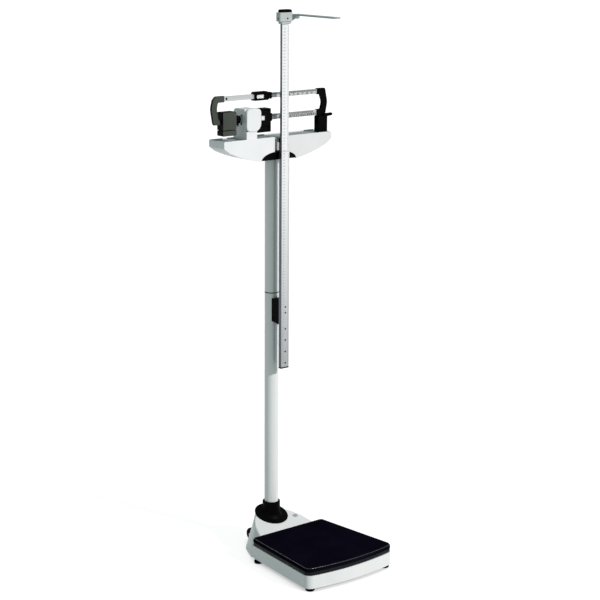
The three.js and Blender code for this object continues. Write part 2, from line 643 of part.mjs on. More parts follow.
function beamLink() {
  const shaft = barZ(2, TRANSFER_LOW - 3, 1464, LINK_X, BEAM_Y, 12);
  const nut = barZ(4, TRANSFER_LOW - 4, TRANSFER_LOW - GAP, LINK_X, BEAM_Y, 6);
  const stirrup = cut(box(LINK_X - 2.5, LINK_X + 2.5, BEAM_Y - 6, BEAM_Y + 6, 1462, 1493),
    box(LINK_X - 3, LINK_X + 3, BEAM_Y - 3.4, BEAM_Y + 3.4, 1465, 1490));
  return piece('beam_link', join(shaft, nut, stirrup), STEEL);
}

function pillarBody() {
  const [left, right] = PILLAR_SIDES;
  const stem = box(left, right, -48, PILLAR_BACK, DECK, 1440);
  const upper = slabX(rounded([[-36.7, 1439], [PILLAR_BACK, 1439], [PILLAR_BACK, PILLAR_TOP, 16],
    [-36.7, PILLAR_TOP]], 4), left, right);
  const room = slabX(rounded([[-45, DECK - PAST], [PILLAR_BACK - 3, DECK - PAST],
    [PILLAR_BACK - 3, PILLAR_TOP - 3, 13], [-33.7, PILLAR_TOP - 3], [-33.7, 1437], [-45, 1437]], 4),
  left + 3, right - 3);
  const slot = box(left - 10, right + 10, BEAM_Y - 4.5, BEAM_Y + 4.5, 1460, 1493);
  const oval = rounded([[-5, 1454, 6], [8, 1454, 6], [8, 1490, 6], [-5, 1490, 6]], 3);
  const window = slabX(oval, left - PAST, left + 4);
  return piece('pillar_body', cut(join(stem, upper), room, slot, window), WHITE);
}

function pillarCap() {
  const [left, right] = CAP_SIDES;
  const [low, high] = CAP_HEIGHTS;
  const outline = (inset) => rounded([[left + inset, low + inset, 15], [right - inset, low + inset, 24],
    [right - inset, high - inset, 15], [left + inset, high - inset, 15]], 5);
  return piece('pillar_cap', join(slabY(outline(0), -50, -37), slabY(outline(1.2), -51.2, -49)), WHITE);
}

function pivotBearing() {
  const base = block(PIVOT_X, BEAM_Y, 8, 14, 1440, 1446);
  const uprights = SIDES.map((side) => block(PIVOT_X, BEAM_Y + side * 11, 5, 2.5, 1440, 1481));
  const stem = block(PIVOT_X, BEAM_Y, 6, 10, DECK, 1441);
  const notch = slabY([[PIVOT_X, PIVOT_Z - GAP], [PIVOT_X + 7, 1485], [PIVOT_X - 7, 1485]],
    BEAM_Y - 20, BEAM_Y + 20);
  return piece('pivot_bearing', cut(join(base, ...uprights, stem), notch), STEEL);
}

// ---- beam ----

const knifeOutline = (grow) => [[PIVOT_X, PIVOT_Z - grow * 2.4], [PIVOT_X + 2.5 + grow, 1482 + grow],
  [PIVOT_X - 2.5 - grow, 1482 + grow]];

const pivotKnife = () => piece('pivot_knife', slabY(knifeOutline(0), BEAM_Y - 13.2, BEAM_Y + 13.2), STEEL);

function beamLower() {
  const bar = box(-214, 182, BEAM_Y - BEAM_HALF, BEAM_Y + BEAM_HALF, LOWER_LOW, LOWER_HIGH);
  const ridge = block(LINK_X, BEAM_Y, 1.5, BEAM_HALF, LOWER_LOW, 1489.7);
  const knifeHole = slabY(knifeOutline(GAP), BEAM_Y - 5, BEAM_Y + 5);
  return piece('beam_lower', cut(join(bar, ridge), knifeHole), ALUMINIUM);
}

function beamUpper() {
  const bar = box(-226, 188, BEAM_Y - BEAM_HALF, BEAM_Y + BEAM_HALF, UPPER_LOW, UPPER_HIGH);
  return piece('beam_upper', bar, ALUMINIUM);
}

const beamSlot = (x0, x1, low, high) =>
  box(x0, x1, BEAM_Y - BEAM_HALF - GAP, BEAM_Y + BEAM_HALF + GAP, low - GAP, high + GAP);

function beamEndLeft() {
  const outline = rounded([[-210, 1558], [-243, 1558, 8], [-254, 1547, 8], [-261, 1519, 40], [-253, 1474, 6],
    [-250, 1467], [-225.3, 1467], [-225.3, 1478], [-234, 1484, 5], [-239.5, 1517, 40], [-235.5, 1538, 6],
    [-210, 1538]].toReversed(), 4);
  const slot = beamSlot(-226 - GAP, -200, UPPER_LOW, UPPER_HIGH);
  return piece('beam_end_left', cut(slabY(outline, BEAM_Y - END_HALF, BEAM_Y + END_HALF), slot), DARK);
}

function beamEndRight() {
  const outline = rounded([[171, 1558], [171, 1538], [184, 1538, 5], [194, 1512, 30], [187, 1489, 3],
    [170, 1489], [170, 1467], [206, 1467, 3], [215, 1512, 40], [205, 1558, 6]], 4);
  const tongue = box(180, 190, BEAM_Y - 3, BEAM_Y + 3, 1442, 1470);
  const body = join(slabY(outline, BEAM_Y - END_HALF, BEAM_Y + END_HALF), tongue);
  return piece('beam_end_right', cut(body, beamSlot(160, 188 + GAP, UPPER_LOW, UPPER_HIGH),
    beamSlot(160, 182 + GAP, LOWER_LOW, LOWER_HIGH)), BLACK);
}

function counterweight() {
  const [left, right] = WEIGHT_ENDS;
  const outline = rounded([[left, 1450], [right, 1450], [right, 1507, 2], [left, 1507, 2]], 2);
  const slot = beamSlot(-214 - GAP, -160, LOWER_LOW, LOWER_HIGH);
  return piece('counterweight', cut(slabY(outline, ...WEIGHT_DEPTH), slot), DARK);
}

function zeroWeight() {
  const [left, right] = WEIGHT_ENDS;
  const outline = rounded([[left, 1431, 2], [right, 1431, 2], [right, 1448], [left, 1448]], 2);
  return piece('zero_weight', slabY(outline, ...WEIGHT_DEPTH), DARK);
}

function poiseSmall() {
  const body = slabY(rounded([[-94, 1534.5, 3], [-37, 1534.5, 4], [-32.5, 1540], [-32.5, 1557],
    [-40, 1562.5, 2], [-89, 1562.5, 3], [-94, 1559]], 3), -28, -10);
  const sleeve = box(-33, -21, -26, -12, 1537.4, 1558.6);
  const channel = box(-110, -10, BEAM_Y - POISE_BORE, BEAM_Y + POISE_BORE, UPPER_LOW - 0.4, UPPER_HIGH + 0.4);
  const fork = box(-110, -88.5, -30, BEAM_Y, UPPER_LOW - 0.4, UPPER_HIGH + 0.4);
  const view = slabY([[-85, 1547], [-80, 1540.5], [-53, 1540.5], [-53, 1553.5], [-80, 1553.5]], -30, BEAM_Y);
  return piece('poise_small', cut(join(body, sleeve), channel, fork, view), BLACK);
}

const poiseSmallLens = () => piece('poise_small_lens', slabY([[-84, 1547], [-79.6, 1541], [-53.5, 1541],
  [-53.5, 1553], [-79.6, 1553]], -26.4, -24.6), CLEAR);

function poiseLarge() {
  const body = slabY(rounded([[-87, 1432, 2], [-31, 1432, 2], [-31, 1508, 2], [-87, 1508, 2]], 2), -34, -4);
  const sleeve = box(-32, -21, -28, -10, 1465.5, 1490.5);
  const channel = box(-100, -10, BEAM_Y - POISE_BORE, BEAM_Y + POISE_BORE, LOWER_LOW - 0.4, LOWER_HIGH + 0.4);
  const view = box(-70, -53, -40, BEAM_Y, 1470, 1486);
  const grips = [1447, 1500].map((z) => barX(7, -100, -40, -38, z, 20));
  return piece('poise_large', cut(join(body, sleeve), channel, view, ...grips), BLACK);
}

const poiseLargeLens = () =>
  piece('poise_large_lens', box(-69.6, -53.4, -31.4, -29.6, 1470.4, 1485.6), CLEAR);

function stopBracket() {
  const [left, right] = BRACKET_ENDS;
  const plate = rounded([[left, DECK], [right, DECK], [right, 1466.5, 2], [left, 1466.5, 3]], 2);
  const plates = [slabY(plate, -34, -31), slabY(plate, -11, -8)];
  const web = box(left, right, -34, -8, DECK, 1419);
  const back = box(left, left + 3, -34, -8, DECK, 1440);
  const pinHole = barY(3.05, -40, -29, LOCK_X, LOCK_Z, 20);
  return piece('stop_bracket', cut(join(...plates, web, back), pinHole), BLACK);
}

function lockLever() {
  const hub = barY(7, -30.7, -25, LOCK_X, LOCK_Z, 24);
  const tab = slabY(rounded([[194, 1463], [205, 1463], [230, 1466, 3], [234, 1471, 4], [228, 1475, 3],
    [196, 1474]], 3), -30.7, -25);
  const pin = barY(3, -35, -26, LOCK_X, LOCK_Z, 20);
  return piece('lock_lever', join(hub, tab, pin), BLACK);
}

const scale = new THREE.Group();
scale.add(
  baseFrame(), baseHousing(),
  foot('foot_front_left', -FOOT_FRONT[0], FOOT_FRONT[1]),
  foot('foot_front_right', FOOT_FRONT[0], FOOT_FRONT[1]),
  foot('foot_rear_left', -FOOT_REAR[0], FOOT_REAR[1]),
  foot('foot_rear_right', FOOT_REAR[0], FOOT_REAR[1]),
  castor('castor_left', -1), castor('castor_right', 1), castorAxle(),
  mainLever(), shortLever(), platformPlate(), platformMat(), ...spiritLevel(),
  columnSocket(), columnBoot(), columnLower(), columnRing(), columnUpper(), columnSleeve(), pullRod(),
  rodBracketMid(), rodBracketTop(), rodOuter(), rodInner(), rodPlug(),
  headSlide(), slideCap(), armPin(), headArm(),
  headFrame(), wing('head_wing_left', -1), wing('head_wing_right', 1), headBackCover(), headArch(), headTray(),
  transferPin(), transferLever(), beamLink(), pillarBody(), pillarCap(), pivotBearing(),
  pivotKnife(), beamLower(), beamUpper(), beamEndLeft(), beamEndRight(), counterweight(), zeroWeight(),
  poiseSmall(), poiseSmallLens(), poiseLarge(), poiseLargeLens(), stopBracket(), lockLever(),
);
scale.position.set(-ORIGIN_X, -ORIGIN_Y, 0);

const group = new THREE.Group();
group.add(scale);
export default group;
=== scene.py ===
import json
import math

import bmesh
import bpy
from mathutils import Matrix, Vector


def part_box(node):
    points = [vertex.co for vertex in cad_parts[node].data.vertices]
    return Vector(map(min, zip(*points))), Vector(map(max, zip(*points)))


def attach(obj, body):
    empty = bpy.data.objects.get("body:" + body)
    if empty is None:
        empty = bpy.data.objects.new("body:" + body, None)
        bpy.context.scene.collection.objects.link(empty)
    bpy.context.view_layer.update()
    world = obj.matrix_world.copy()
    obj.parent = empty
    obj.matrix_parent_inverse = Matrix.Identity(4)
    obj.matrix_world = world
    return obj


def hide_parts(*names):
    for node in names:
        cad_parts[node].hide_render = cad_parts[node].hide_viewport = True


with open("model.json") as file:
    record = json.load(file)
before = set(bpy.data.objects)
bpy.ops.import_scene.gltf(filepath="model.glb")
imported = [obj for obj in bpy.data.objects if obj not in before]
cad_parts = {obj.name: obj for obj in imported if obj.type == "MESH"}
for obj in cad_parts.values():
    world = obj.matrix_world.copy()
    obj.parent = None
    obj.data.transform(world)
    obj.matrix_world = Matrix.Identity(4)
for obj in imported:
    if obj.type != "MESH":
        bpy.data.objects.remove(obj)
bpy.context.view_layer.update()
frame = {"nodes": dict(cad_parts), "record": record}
record = frame["record"]
BODY_OF = {node: body for body, nodes in record["behaviour"]["bodies"].items() for node in nodes}
SLOT_OF = {part["node"]: part["material_slot"] for part in record["subparts"]}

# A physician beam scale. Metres, +Z up, the platform in front at -Y, the beams along X.
MM = 0.001
UP = Vector((0, 0, 1))
FRONT = Vector((0, -1, 0))
RIGHT = Vector((1, 0, 0))
CORE = 0.0001  # the radius at which a turned solid's profile starts and ends


# ---- materials ----

def shader(name):
    """A new material with its Principled node, its node maker and its link maker."""
    material = bpy.data.materials.new(name)
    material.use_nodes = True
    tree = material.node_tree
    return material, tree.nodes["Principled BSDF"], tree.nodes.new, tree.links.new


def noise(new, link, size, stretch=(1, 1, 1), detail=4.0):
    """Noise in object space, with features about size metres across."""
    place = new("ShaderNodeTexCoord")
    turn = new("ShaderNodeMapping")
    turn.inputs["Scale"].default_value = stretch
    field = new("ShaderNodeTexNoise")
    field.inputs["Scale"].default_value = 1 / size
    field.inputs["Detail"].default_value = detail
    link(place.outputs["Object"], turn.inputs["Vector"])
    link(turn.outputs["Vector"], field.inputs["Vector"])
    return field.outputs["Fac"]


def ranged(new, link, source, low, high):
    """source, from its usual 0.3 to 0.7, spread over low to high."""
    node = new("ShaderNodeMapRange")
    node.inputs["From Min"].default_value = 0.3
    node.inputs["From Max"].default_value = 0.7
    node.inputs["To Min"].default_value = low
    node.inputs["To Max"].default_value = high
    link(source, node.inputs["Value"])
    return node.outputs["Result"]


def toned(new, link, factor, first, second, start=0.3, end=0.7):
    """A colour that runs from first to second with factor."""
    ramp = new("ShaderNodeValToRGB")
    ramp.color_ramp.elements[0].position = start
    ramp.color_ramp.elements[0].color = (*first, 1)
    ramp.color_ramp.elements[1].position = end
    ramp.color_ramp.elements[1].color = (*second, 1)
    link(factor, ramp.inputs["Fac"])
    return ramp.outputs["Color"]


def risen(new, link):
    """How far up its own piece a point lies, from 0 to 1."""
    split = new("ShaderNodeSeparateXYZ")
    link(new("ShaderNodeTexCoord").outputs["Generated"], split.inputs["Vector"])
    return split.outputs["Z"]


def bumped(new, link, shade, height, depth, strength):
    """Fine relief from a height field, depth metres deep."""
    node = new("ShaderNodeBump")
    node.inputs["Strength"].default_value = strength
    node.inputs["Distance"].default_value = depth
    link(height, node.inputs["Height"])
    link(node.outputs["Normal"], shade.inputs["Normal"])


def surface(name, first, second, roughness, grain, depth, stretch=(1, 1, 1), blotch=0.05, metallic=0.0,
            specular=0.5, strength=0.35, painted_shade_rise=False):
    """A finish with a roughness that varies and a fine grain. Its tone is blotched from first to second, or
    rises from first at the piece's foot to second near its top, which is painted shade: darker towards the
    foot."""
    material, shade, new, link = shader(name)
    shade.inputs["Metallic"].default_value = metallic
    shade.inputs["Specular IOR Level"].default_value = specular
    if painted_shade_rise:
        # painted shade: the tone darkens from the top towards the piece's foot
        tone = toned(new, link, risen(new, link), first, second, start=0.0, end=0.9)
    else:
        tone = toned(new, link, noise(new, link, blotch, stretch), first, second)
    link(tone, shade.inputs["Base Color"])
    rough = ranged(new, link, noise(new, link, blotch / 3, stretch), roughness[0], roughness[1])
    link(rough, shade.inputs["Roughness"])
    bumped(new, link, shade, noise(new, link, grain, stretch, 6.0), depth, strength)
    return material


def rubber_mat():
    """Black rubber with small raised pips."""
    material, shade, new, link = shader("mat_rubber")
    shade.inputs["Specular IOR Level"].default_value = 0.0
    place = new("ShaderNodeTexCoord")
    cells = new("ShaderNodeTexVoronoi")
    cells.inputs["Scale"].default_value = 1 / PIP_PITCH
    cells.inputs["Randomness"].default_value = 0.35
    link(place.outputs["Object"], cells.inputs["Vector"])
    pips = new("ShaderNodeMapRange")
    pips.inputs["From Min"].default_value = 0.25
    pips.inputs["From Max"].default_value = 0.55
    pips.inputs["To Min"].default_value = 1
    pips.inputs["To Max"].default_value = 0
    link(cells.outputs["Distance"], pips.inputs["Value"])
    tone = toned(new, link, noise(new, link, 0.09), (0.0026, 0.0021, 0.0052), (0.0044, 0.0036, 0.0085))
    link(tone, shade.inputs["Base Color"])
    link(ranged(new, link, noise(new, link, 0.02), 0.75, 0.9), shade.inputs["Roughness"])
    bumped(new, link, shade, pips.outputs["Result"], 0.0005, 0.6)
    return material


def clear_plastic():
    """Clear, faintly scratched window plastic."""
    material, shade, new, link = shader("clear_plastic")
    shade.inputs["Base Color"].default_value = (0.93, 0.96, 0.97, 1)
    shade.inputs["Alpha"].default_value = 0.18
    link(ranged(new, link, noise(new, link, 0.004, (1, 8, 1)), 0.04, 0.14), shade.inputs["Roughness"])
    return material


def level_liquid():
    """Pale green liquid under a glassy coat."""
    material, shade, new, link = shader("level_liquid")
    tone = toned(new, link, noise(new, link, 0.006), (0.42, 0.5, 0.3), (0.5, 0.58, 0.38))
    link(tone, shade.inputs["Base Color"])
    shade.inputs["Roughness"].default_value = 0.06
    shade.inputs["Coat Weight"].default_value = 0.6
    return material


def printed(name, first, second):
    """Screen-printed ink, a little uneven."""
    material, shade, new, link = shader(name)
    link(toned(new, link, noise(new, link, 0.0012), first, second), shade.inputs["Base Color"])
    link(ranged(new, link, noise(new, link, 0.003), 0.45, 0.65), shade.inputs["Roughness"])
    return material


PIP_PITCH = 0.0032
PAINT = dict(grain=0.0009, depth=0.00004, strength=0.25)
WHITE = dict(**PAINT, specular=0.4, blotch=0.12)
MOULDED = dict(grain=0.0005, depth=0.00005, strength=0.45)
ALONG_X = (0.02, 1, 1)
ALONG_Z = (1, 1, 0.02)
DRAWN = dict(grain=0.0003, depth=0.00002, blotch=0.008)
SCALE = dict(grain=0.0004, depth=0.00002, stretch=ALONG_Z, blotch=0.01, metallic=0.2)

FINISH = {
    "frame_iron": surface("frame_iron", (0.05, 0.05, 0.052), (0.085, 0.085, 0.086), (0.45, 0.65),
                          grain=0.0015, depth=0.00012, metallic=0.3),
    # painted shade: the base's white, a darker copy of the head's white for the weaker light low down
    "housing_white": surface("housing_white", (0.61, 0.63, 0.625), (0.66, 0.675, 0.67), (0.3, 0.42), **WHITE),
    "tube_white": surface("tube_white", (0.60, 0.625, 0.62), (0.66, 0.68, 0.675), (0.26, 0.36),
                          grain=0.0006, depth=0.00003, stretch=ALONG_Z, blotch=0.01, metallic=0.1,
                          specular=0.4),
    "black_plastic": surface("black_plastic", (0.0012, 0.0012, 0.0011), (0.0024, 0.0024, 0.0022),
                             (0.42, 0.58), **MOULDED, specular=0.02),
    "mat_rubber": rubber_mat(),
    "platform_steel": surface("platform_steel", (0.004, 0.0052, 0.0056), (0.0065, 0.0082, 0.0086),
                              (0.4, 0.55), **PAINT, specular=0.08),
    "bare_steel": surface("bare_steel", (0.42, 0.43, 0.44), (0.55, 0.56, 0.57), (0.22, 0.36),
                          grain=0.0004, depth=0.00002, stretch=ALONG_X, blotch=0.01, metallic=1.0),
    "dark_iron": surface("dark_iron", (0.002, 0.002, 0.0018), (0.0042, 0.0042, 0.0038), (0.45, 0.6),
                         **MOULDED, specular=0.04),
    "dark_plastic": surface("dark_plastic", (0.002, 0.002, 0.0018), (0.0042, 0.0042, 0.0038), (0.45, 0.6),
                            **MOULDED, specular=0.08),
    "beam_aluminium": surface("beam_aluminium", (0.44, 0.465, 0.46), (0.52, 0.54, 0.535), (0.3, 0.45),
                              **DRAWN, stretch=ALONG_X, metallic=0.4),
    "rod_aluminium": surface("rod_aluminium", (0.085, 0.092, 0.107), (0.115, 0.125, 0.142), (0.28, 0.4),
                             **DRAWN, stretch=ALONG_Z, metallic=0.85),
    "grey_plastic": surface("grey_plastic", (0.25, 0.29, 0.295), (0.30, 0.335, 0.34), (0.4, 0.55), **MOULDED),
    "poise_iron": surface("poise_iron", (0.0012, 0.0012, 0.0011), (0.0024, 0.0024, 0.0022), (0.42, 0.56),
                          **MOULDED, specular=0.03),
    "lens": clear_plastic(),
}
# painted light: the head's white, a lighter copy of the base's white for the stronger light up high
HEAD_WHITE_PAINTED_LIT = surface("head_white_painted_lit", (0.67, 0.685, 0.69), (0.715, 0.725, 0.73), (0.3, 0.42), **WHITE)
# painted shade: the right wing's darker copy of the head's white
WING_RIGHT_PAINTED_SHADE = surface("wing_right", (0.60, 0.615, 0.61), (0.65, 0.66, 0.655), (0.3, 0.42), **WHITE)
# painted shade: the slide is white plastic, greyed to stand in for the arm's shadow on it
SLIDE_WHITE_PAINTED_SHADE = surface("slide_white_painted_shade", (0.38, 0.41, 0.41), (0.44, 0.465, 0.465), (0.35, 0.5),
                     **MOULDED, specular=0.4)
# painted light: a lighter copy of the dark iron for the faces that look forwards or back
IRON_FACE_PAINTED_LIT = surface("iron_face_painted_lit", (0.044, 0.050, 0.042), (0.056, 0.063, 0.053), (0.45, 0.6),
                    **MOULDED, specular=0.1)
GLOSSY_RUBBER = surface("glossy_rubber", (0.004, 0.004, 0.006), (0.008, 0.008, 0.011), (0.2, 0.3),
                        **PAINT, specular=0.9)
SCALE_FACE = surface("scale_face", (0.72, 0.73, 0.73), (0.78, 0.79, 0.79), (0.3, 0.42), **SCALE)
# painted shade on the outer rod's strip: dark at its foot, light near its top
LOWER_SCALE_FACE_PAINTED_SHADE = surface("lower_scale_face_painted_shade", (0.32, 0.335, 0.345), (0.72, 0.73, 0.73), (0.3, 0.42),
                           **SCALE, painted_shade_rise=True)
LABEL_WHITE = surface("label_white", (0.78, 0.79, 0.78), (0.84, 0.85, 0.84), (0.4, 0.5), **PAINT)
INK_BLACK = printed("ink_black", (0.012, 0.012, 0.014), (0.03, 0.03, 0.034))
INK_GREY = printed("ink_grey", (0.08, 0.085, 0.09), (0.13, 0.135, 0.14))
INK_RED = printed("ink_red", (0.5, 0.02, 0.03), (0.62, 0.05, 0.06))
LIQUID = level_liquid()


# ---- making pieces ----

def mesh_of(bm, name):
    """The smooth mesh of a bmesh, which it uses up."""
    bmesh.ops.recalc_face_normals(bm, faces=bm.faces)
    for face in bm.faces:
        face.smooth = True
    mesh = bpy.data.meshes.new(name)
    bm.to_mesh(mesh)
    bm.free()
    return mesh


def place(name, mesh, body, finish, slot=None, nodes=()):
    """The mesh as a piece that rides on a body, in a finish, and may stand for CAD nodes."""
    made = bpy.data.objects.new(name, mesh)
    bpy.context.scene.collection.objects.link(made)
    mesh.materials.clear()
    mesh.materials.append(finish)
    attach(made, body)
    if nodes:
        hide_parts(*nodes)
    even = made.modifiers.new("even_normals", "WEIGHTED_NORMAL")
    even.keep_sharp = True
    even.weight = 60
    return made


def round_edges(bm, width, least=35):
    """Rounds every edge that turns more than least degrees."""
    sharp = [e for e in bm.edges if e.is_manifold and e.calc_face_angle() > math.radians(least)]
    bmesh.ops.bevel(bm, geom=sharp, offset=width, offset_type="OFFSET", segments=2, profile=0.5,
                    affect="EDGES", clamp_overlap=True)
    return bm


def tidied(bm):
    """Merges doubled vertices and joins flat triangles into faces."""
    bmesh.ops.remove_doubles(bm, verts=bm.verts, dist=4e-6)
    bmesh.ops.dissolve_limit(bm, angle_limit=math.radians(0.6), verts=bm.verts, edges=bm.edges)
    return bm


def from_node(node):
    """A CAD node's own shape, to be refined."""
    bm = bmesh.new()
    bm.from_mesh(frame["nodes"][node].data)
    return tidied(bm)


def stand_for(node, bm, finish=None):
    """A finer piece in the place of one CAD node, on its body and in its slot's finish or in its own."""
    slot = SLOT_OF[node]
    name = node + "_finished"
    return place(name, mesh_of(bm, name), BODY_OF[node], finish or FINISH[slot], slot, (node,))


def rings(bm, loops, closed=False):
    """Skins a list of equally long loops of points, then closes its ends or joins last to first."""
    made = [[bm.verts.new(p) for p in loop] for loop in loops]
    pairs = list(zip(made, made[1:] + made[:1])) if closed else list(zip(made, made[1:]))
    for low, high in pairs:
        for i, vert in enumerate(low):
            j = (i + 1) % len(low)
            bm.faces.new((vert, low[j], high[j], high[i]))
    if not closed:
        bm.faces.new(made[0][::-1])
        bm.faces.new(made[-1])
    return bm


def turned(bm, profile, at, sides, axis=UP, closed=False):
    """A profile of (radius, height) points turned about an axis through at."""
    turn = axis.to_track_quat("Z", "Y").to_matrix()
    loops = []
    for radius, height in profile:
        loops.append([at + turn @ Vector((radius * math.cos(a), radius * math.sin(a), height))
                      for a in (2 * math.pi * i / sides for i in range(sides))])
    return rings(bm, loops, closed)


def cylinder(at, radius, low, high, sides, axis=UP):
    """A plain round tool about an axis through a point, between two heights."""
    return turned(bmesh.new(), [(CORE, low), (radius, low), (radius, high), (CORE, high)], at, sides, axis)


def block(bm, low, high):
    """A box between two corners."""
    size = Vector(high) - Vector(low)
    shift = Matrix.Translation((Vector(high) + Vector(low)) / 2) @ Matrix.Diagonal((*size, 1))
    bmesh.ops.create_cube(bm, size=1, matrix=shift)
    return bm


def corner_arc(corner, before, after, radius, steps):
    """Points of an arc of that radius that rounds a corner of a flat outline."""
    one, two = (before - corner).normalized(), (after - corner).normalized()
    half = one.angle(two) / 2
    centre = corner + (one + two).normalized() * radius / math.sin(half)
    start = corner + one * radius / math.tan(half) - centre
    end = corner + two * radius / math.tan(half) - centre
    first = math.atan2(start.y, start.x)
    swing = (math.atan2(end.y, end.x) - first + math.pi) % (2 * math.pi) - math.pi
    angles = [first + swing * k / steps for k in range(steps + 1)]
    return [centre + radius * Vector((math.cos(a), math.sin(a))) for a in angles]


def rounded(points, steps):
    """A flat outline from (a, b, radius) corners, with each corner rounded."""
    flat = [Vector(p[:2]) for p in points]
    outline = []
    for i, point in enumerate(points):
        if len(point) < 3 or not point[2]:
            outline.append(flat[i])
            continue
        outline += corner_arc(flat[i], flat[i - 1], flat[(i + 1) % len(flat)], point[2], steps)
    return outline


def carve(bm, tools, operation="DIFFERENCE"):
    """Cuts tools out of a solid, or joins them to it, and returns the result."""
    body = bpy.data.objects.new("carved", bpy.data.meshes.new("carved"))
    bmesh.ops.recalc_face_normals(bm, faces=bm.faces)
    bm.to_mesh(body.data)
    bm.free()
    made = [body]
    for tool in tools:
        bmesh.ops.recalc_face_normals(tool, faces=tool.faces)
        cutter = bpy.data.objects.new("cutter", bpy.data.meshes.new("cutter"))
        tool.to_mesh(cutter.data)
        tool.free()
        made.append(cutter)
        step = body.modifiers.new("cut", "BOOLEAN")
        step.operation = operation
        step.solver = "MANIFOLD"
        step.object = cutter
    for one in made:
        bpy.context.scene.collection.objects.link(one)
    result = bmesh.new()
    result.from_mesh(body.evaluated_get(bpy.context.evaluated_depsgraph_get()).data)
    for one in made:
        bpy.data.objects.remove(one)
    return tidied(result)


# ---- printed marks ----

GLYPHS = {}
FONT_SIZE = 1.4  # makes a digit about 1 unit high
GLYPH_HALF = 0.01  # half its thickness, in the same units
DIGIT_PITCH = 0.78
INK = 0.00012  # how thick a printed mark is


def glyph(character):
    """The points and faces of one digit, about 1 unit high, flat in XY and a little thick."""
    if character not in GLYPHS:
        curve = bpy.data.curves.new("glyph", "FONT")
        curve.body = character
        curve.size = FONT_SIZE
        curve.extrude = GLYPH_HALF
        curve.resolution_u = 3
        text = bpy.data.objects.new("glyph", curve)
        bpy.context.scene.collection.objects.link(text)
        mesh = bpy.data.meshes.new_from_object(text.evaluated_get(bpy.context.evaluated_depsgraph_get()))
        GLYPHS[character] = ([v.co.copy() for v in mesh.vertices], [tuple(p.vertices) for p in mesh.polygons])
        bpy.data.objects.remove(text)
        bpy.data.meshes.remove(mesh)
    return GLYPHS[character]


def number(bm, text, height, centre, bold=1.0):
    """Digits on a face that looks towards -Y, centred on a point."""
    pitch = DIGIT_PITCH * height
    start = -(len(text) - 1) / 2 * pitch
    for k, character in enumerate(text):
        points, faces = glyph(character)
        middle = (min(p.x for p in points) + max(p.x for p in points)) / 2
        made = []
        for p in points:
            across = start + k * pitch + (p.x - middle) * height * bold
            spot = Vector((across, -INK * (0.5 + p.z / (2 * GLYPH_HALF)), (p.y - 0.5) * height))
            made.append(bm.verts.new(centre + spot))
        for face in faces:
            bm.faces.new([made[i] for i in face])


def tick(bm, centre, width, height):
    """A printed line on a face that looks towards -Y."""
    half = Vector((width / 2, INK / 2, height / 2))
    block(bm, centre - half, centre + half)


# ---- small fittings ----

def piece(name, bm, body, finish, slot=None):
    """A piece that has no CAD node behind it."""
    return place(name, mesh_of(bm, name), body, finish, slot)


def screw(name, at, axis, radius, body):
    """A black pan-head screw with a cross recess, its head's foot at a point."""
    shank = radius * 0.55
    profile = [(CORE, -radius), (shank, -radius), (shank, 0), (radius, 0), (radius, radius * 0.22),
               (radius * 0.86, radius * 0.42), (radius * 0.5, radius * 0.54), (CORE, radius * 0.58)]
    head = turned(bmesh.new(), profile, Vector((0, 0, 0)), 40)
    long, narrow, floor = radius * 0.6, radius * 0.12, radius * 0.3
    cross = [block(bmesh.new(), (-a, -b, floor), (a, b, radius)) for a, b in ((long, narrow), (narrow, long))]
    cut = carve(head, cross)
    turn = axis.to_track_quat("Z", "Y").to_matrix().to_4x4()
    bmesh.ops.transform(cut, matrix=Matrix.Translation(at) @ turn, verts=cut.verts)
    piece(name, cut, body, FINISH["black_plastic"], "black_plastic")


def rivet(name, at, radius, body):
    """A low black rivet head on a face that looks towards -Y."""
    profile = [(CORE, -0.0005), (radius, -0.0005), (radius, 0.0002), (radius * 0.88, 0.0006),
               (radius * 0.6, 0.0009), (CORE, 0.0011)]
    piece(name, turned(bmesh.new(), profile, at, 32, FRONT), body, FINISH["black_plastic"], "black_plastic")


# ---- nodes that keep their shape ----

ROUNDING = {  # how far the edges of each moulded or cast piece are rounded, in mm
    "head_wing_left": 1.2, "head_wing_right": 1.2, "head_back_cover": 1.2, "head_arch": 0.8, "head_tray": 0.5,
    "pillar_body": 1.6, "pillar_cap": 0.7, "stop_bracket": 0.8, "lock_lever": 1.2, "beam_end_left": 1.0,
    "beam_end_right": 1.0, "counterweight": 0.9, "zero_weight": 0.9, "rod_bracket_mid": 1.0,
    "rod_bracket_top": 0.6, "rod_plug": 0.5, "head_slide": 0.9, "slide_cap": 0.8, "head_arm": 0.7,
    "poise_small": 0.6, "poise_large": 0.8, "beam_upper": 0.4, "beam_lower": 0.4, "base_frame": 0.8,
    "pivot_bearing": 0.4, "column_ring": 0.2, "platform_plate": 0.6, "column_socket": 0.6, "level_body": 0.5,
    "main_lever": 0.5, "short_lever": 0.5, "transfer_lever": 0.4, "head_frame": 0.5, "arm_pin": 0.3,
    "castor_axle": 0.4, "beam_link": 0.2, "poise_small_lens": 0.2, "poise_large_lens": 0.2,
}
UNCHANGED = ("pull_rod", "transfer_pin", "pivot_knife", "column_sleeve")
OWN_FINISH = {
    "head_wing_left": HEAD_WHITE_PAINTED_LIT, "head_back_cover": HEAD_WHITE_PAINTED_LIT, "pillar_body": HEAD_WHITE_PAINTED_LIT,
    "pillar_cap": HEAD_WHITE_PAINTED_LIT, "head_wing_right": WING_RIGHT_PAINTED_SHADE, "head_slide": SLIDE_WHITE_PAINTED_SHADE,
}
PAINTED_LIT_FACED = ("beam_end_left", "counterweight", "zero_weight")
FACING = 0.9  # how squarely a face looks forwards or back to take the painted-light iron


def light_faces(mesh):
    """Painted light: a lighter copy of the iron on the faces that look forwards or back."""
    mesh.materials.append(IRON_FACE_PAINTED_LIT)
    for face in mesh.polygons:
        if abs(face.normal.y) > FACING:
            face.material_index = 1


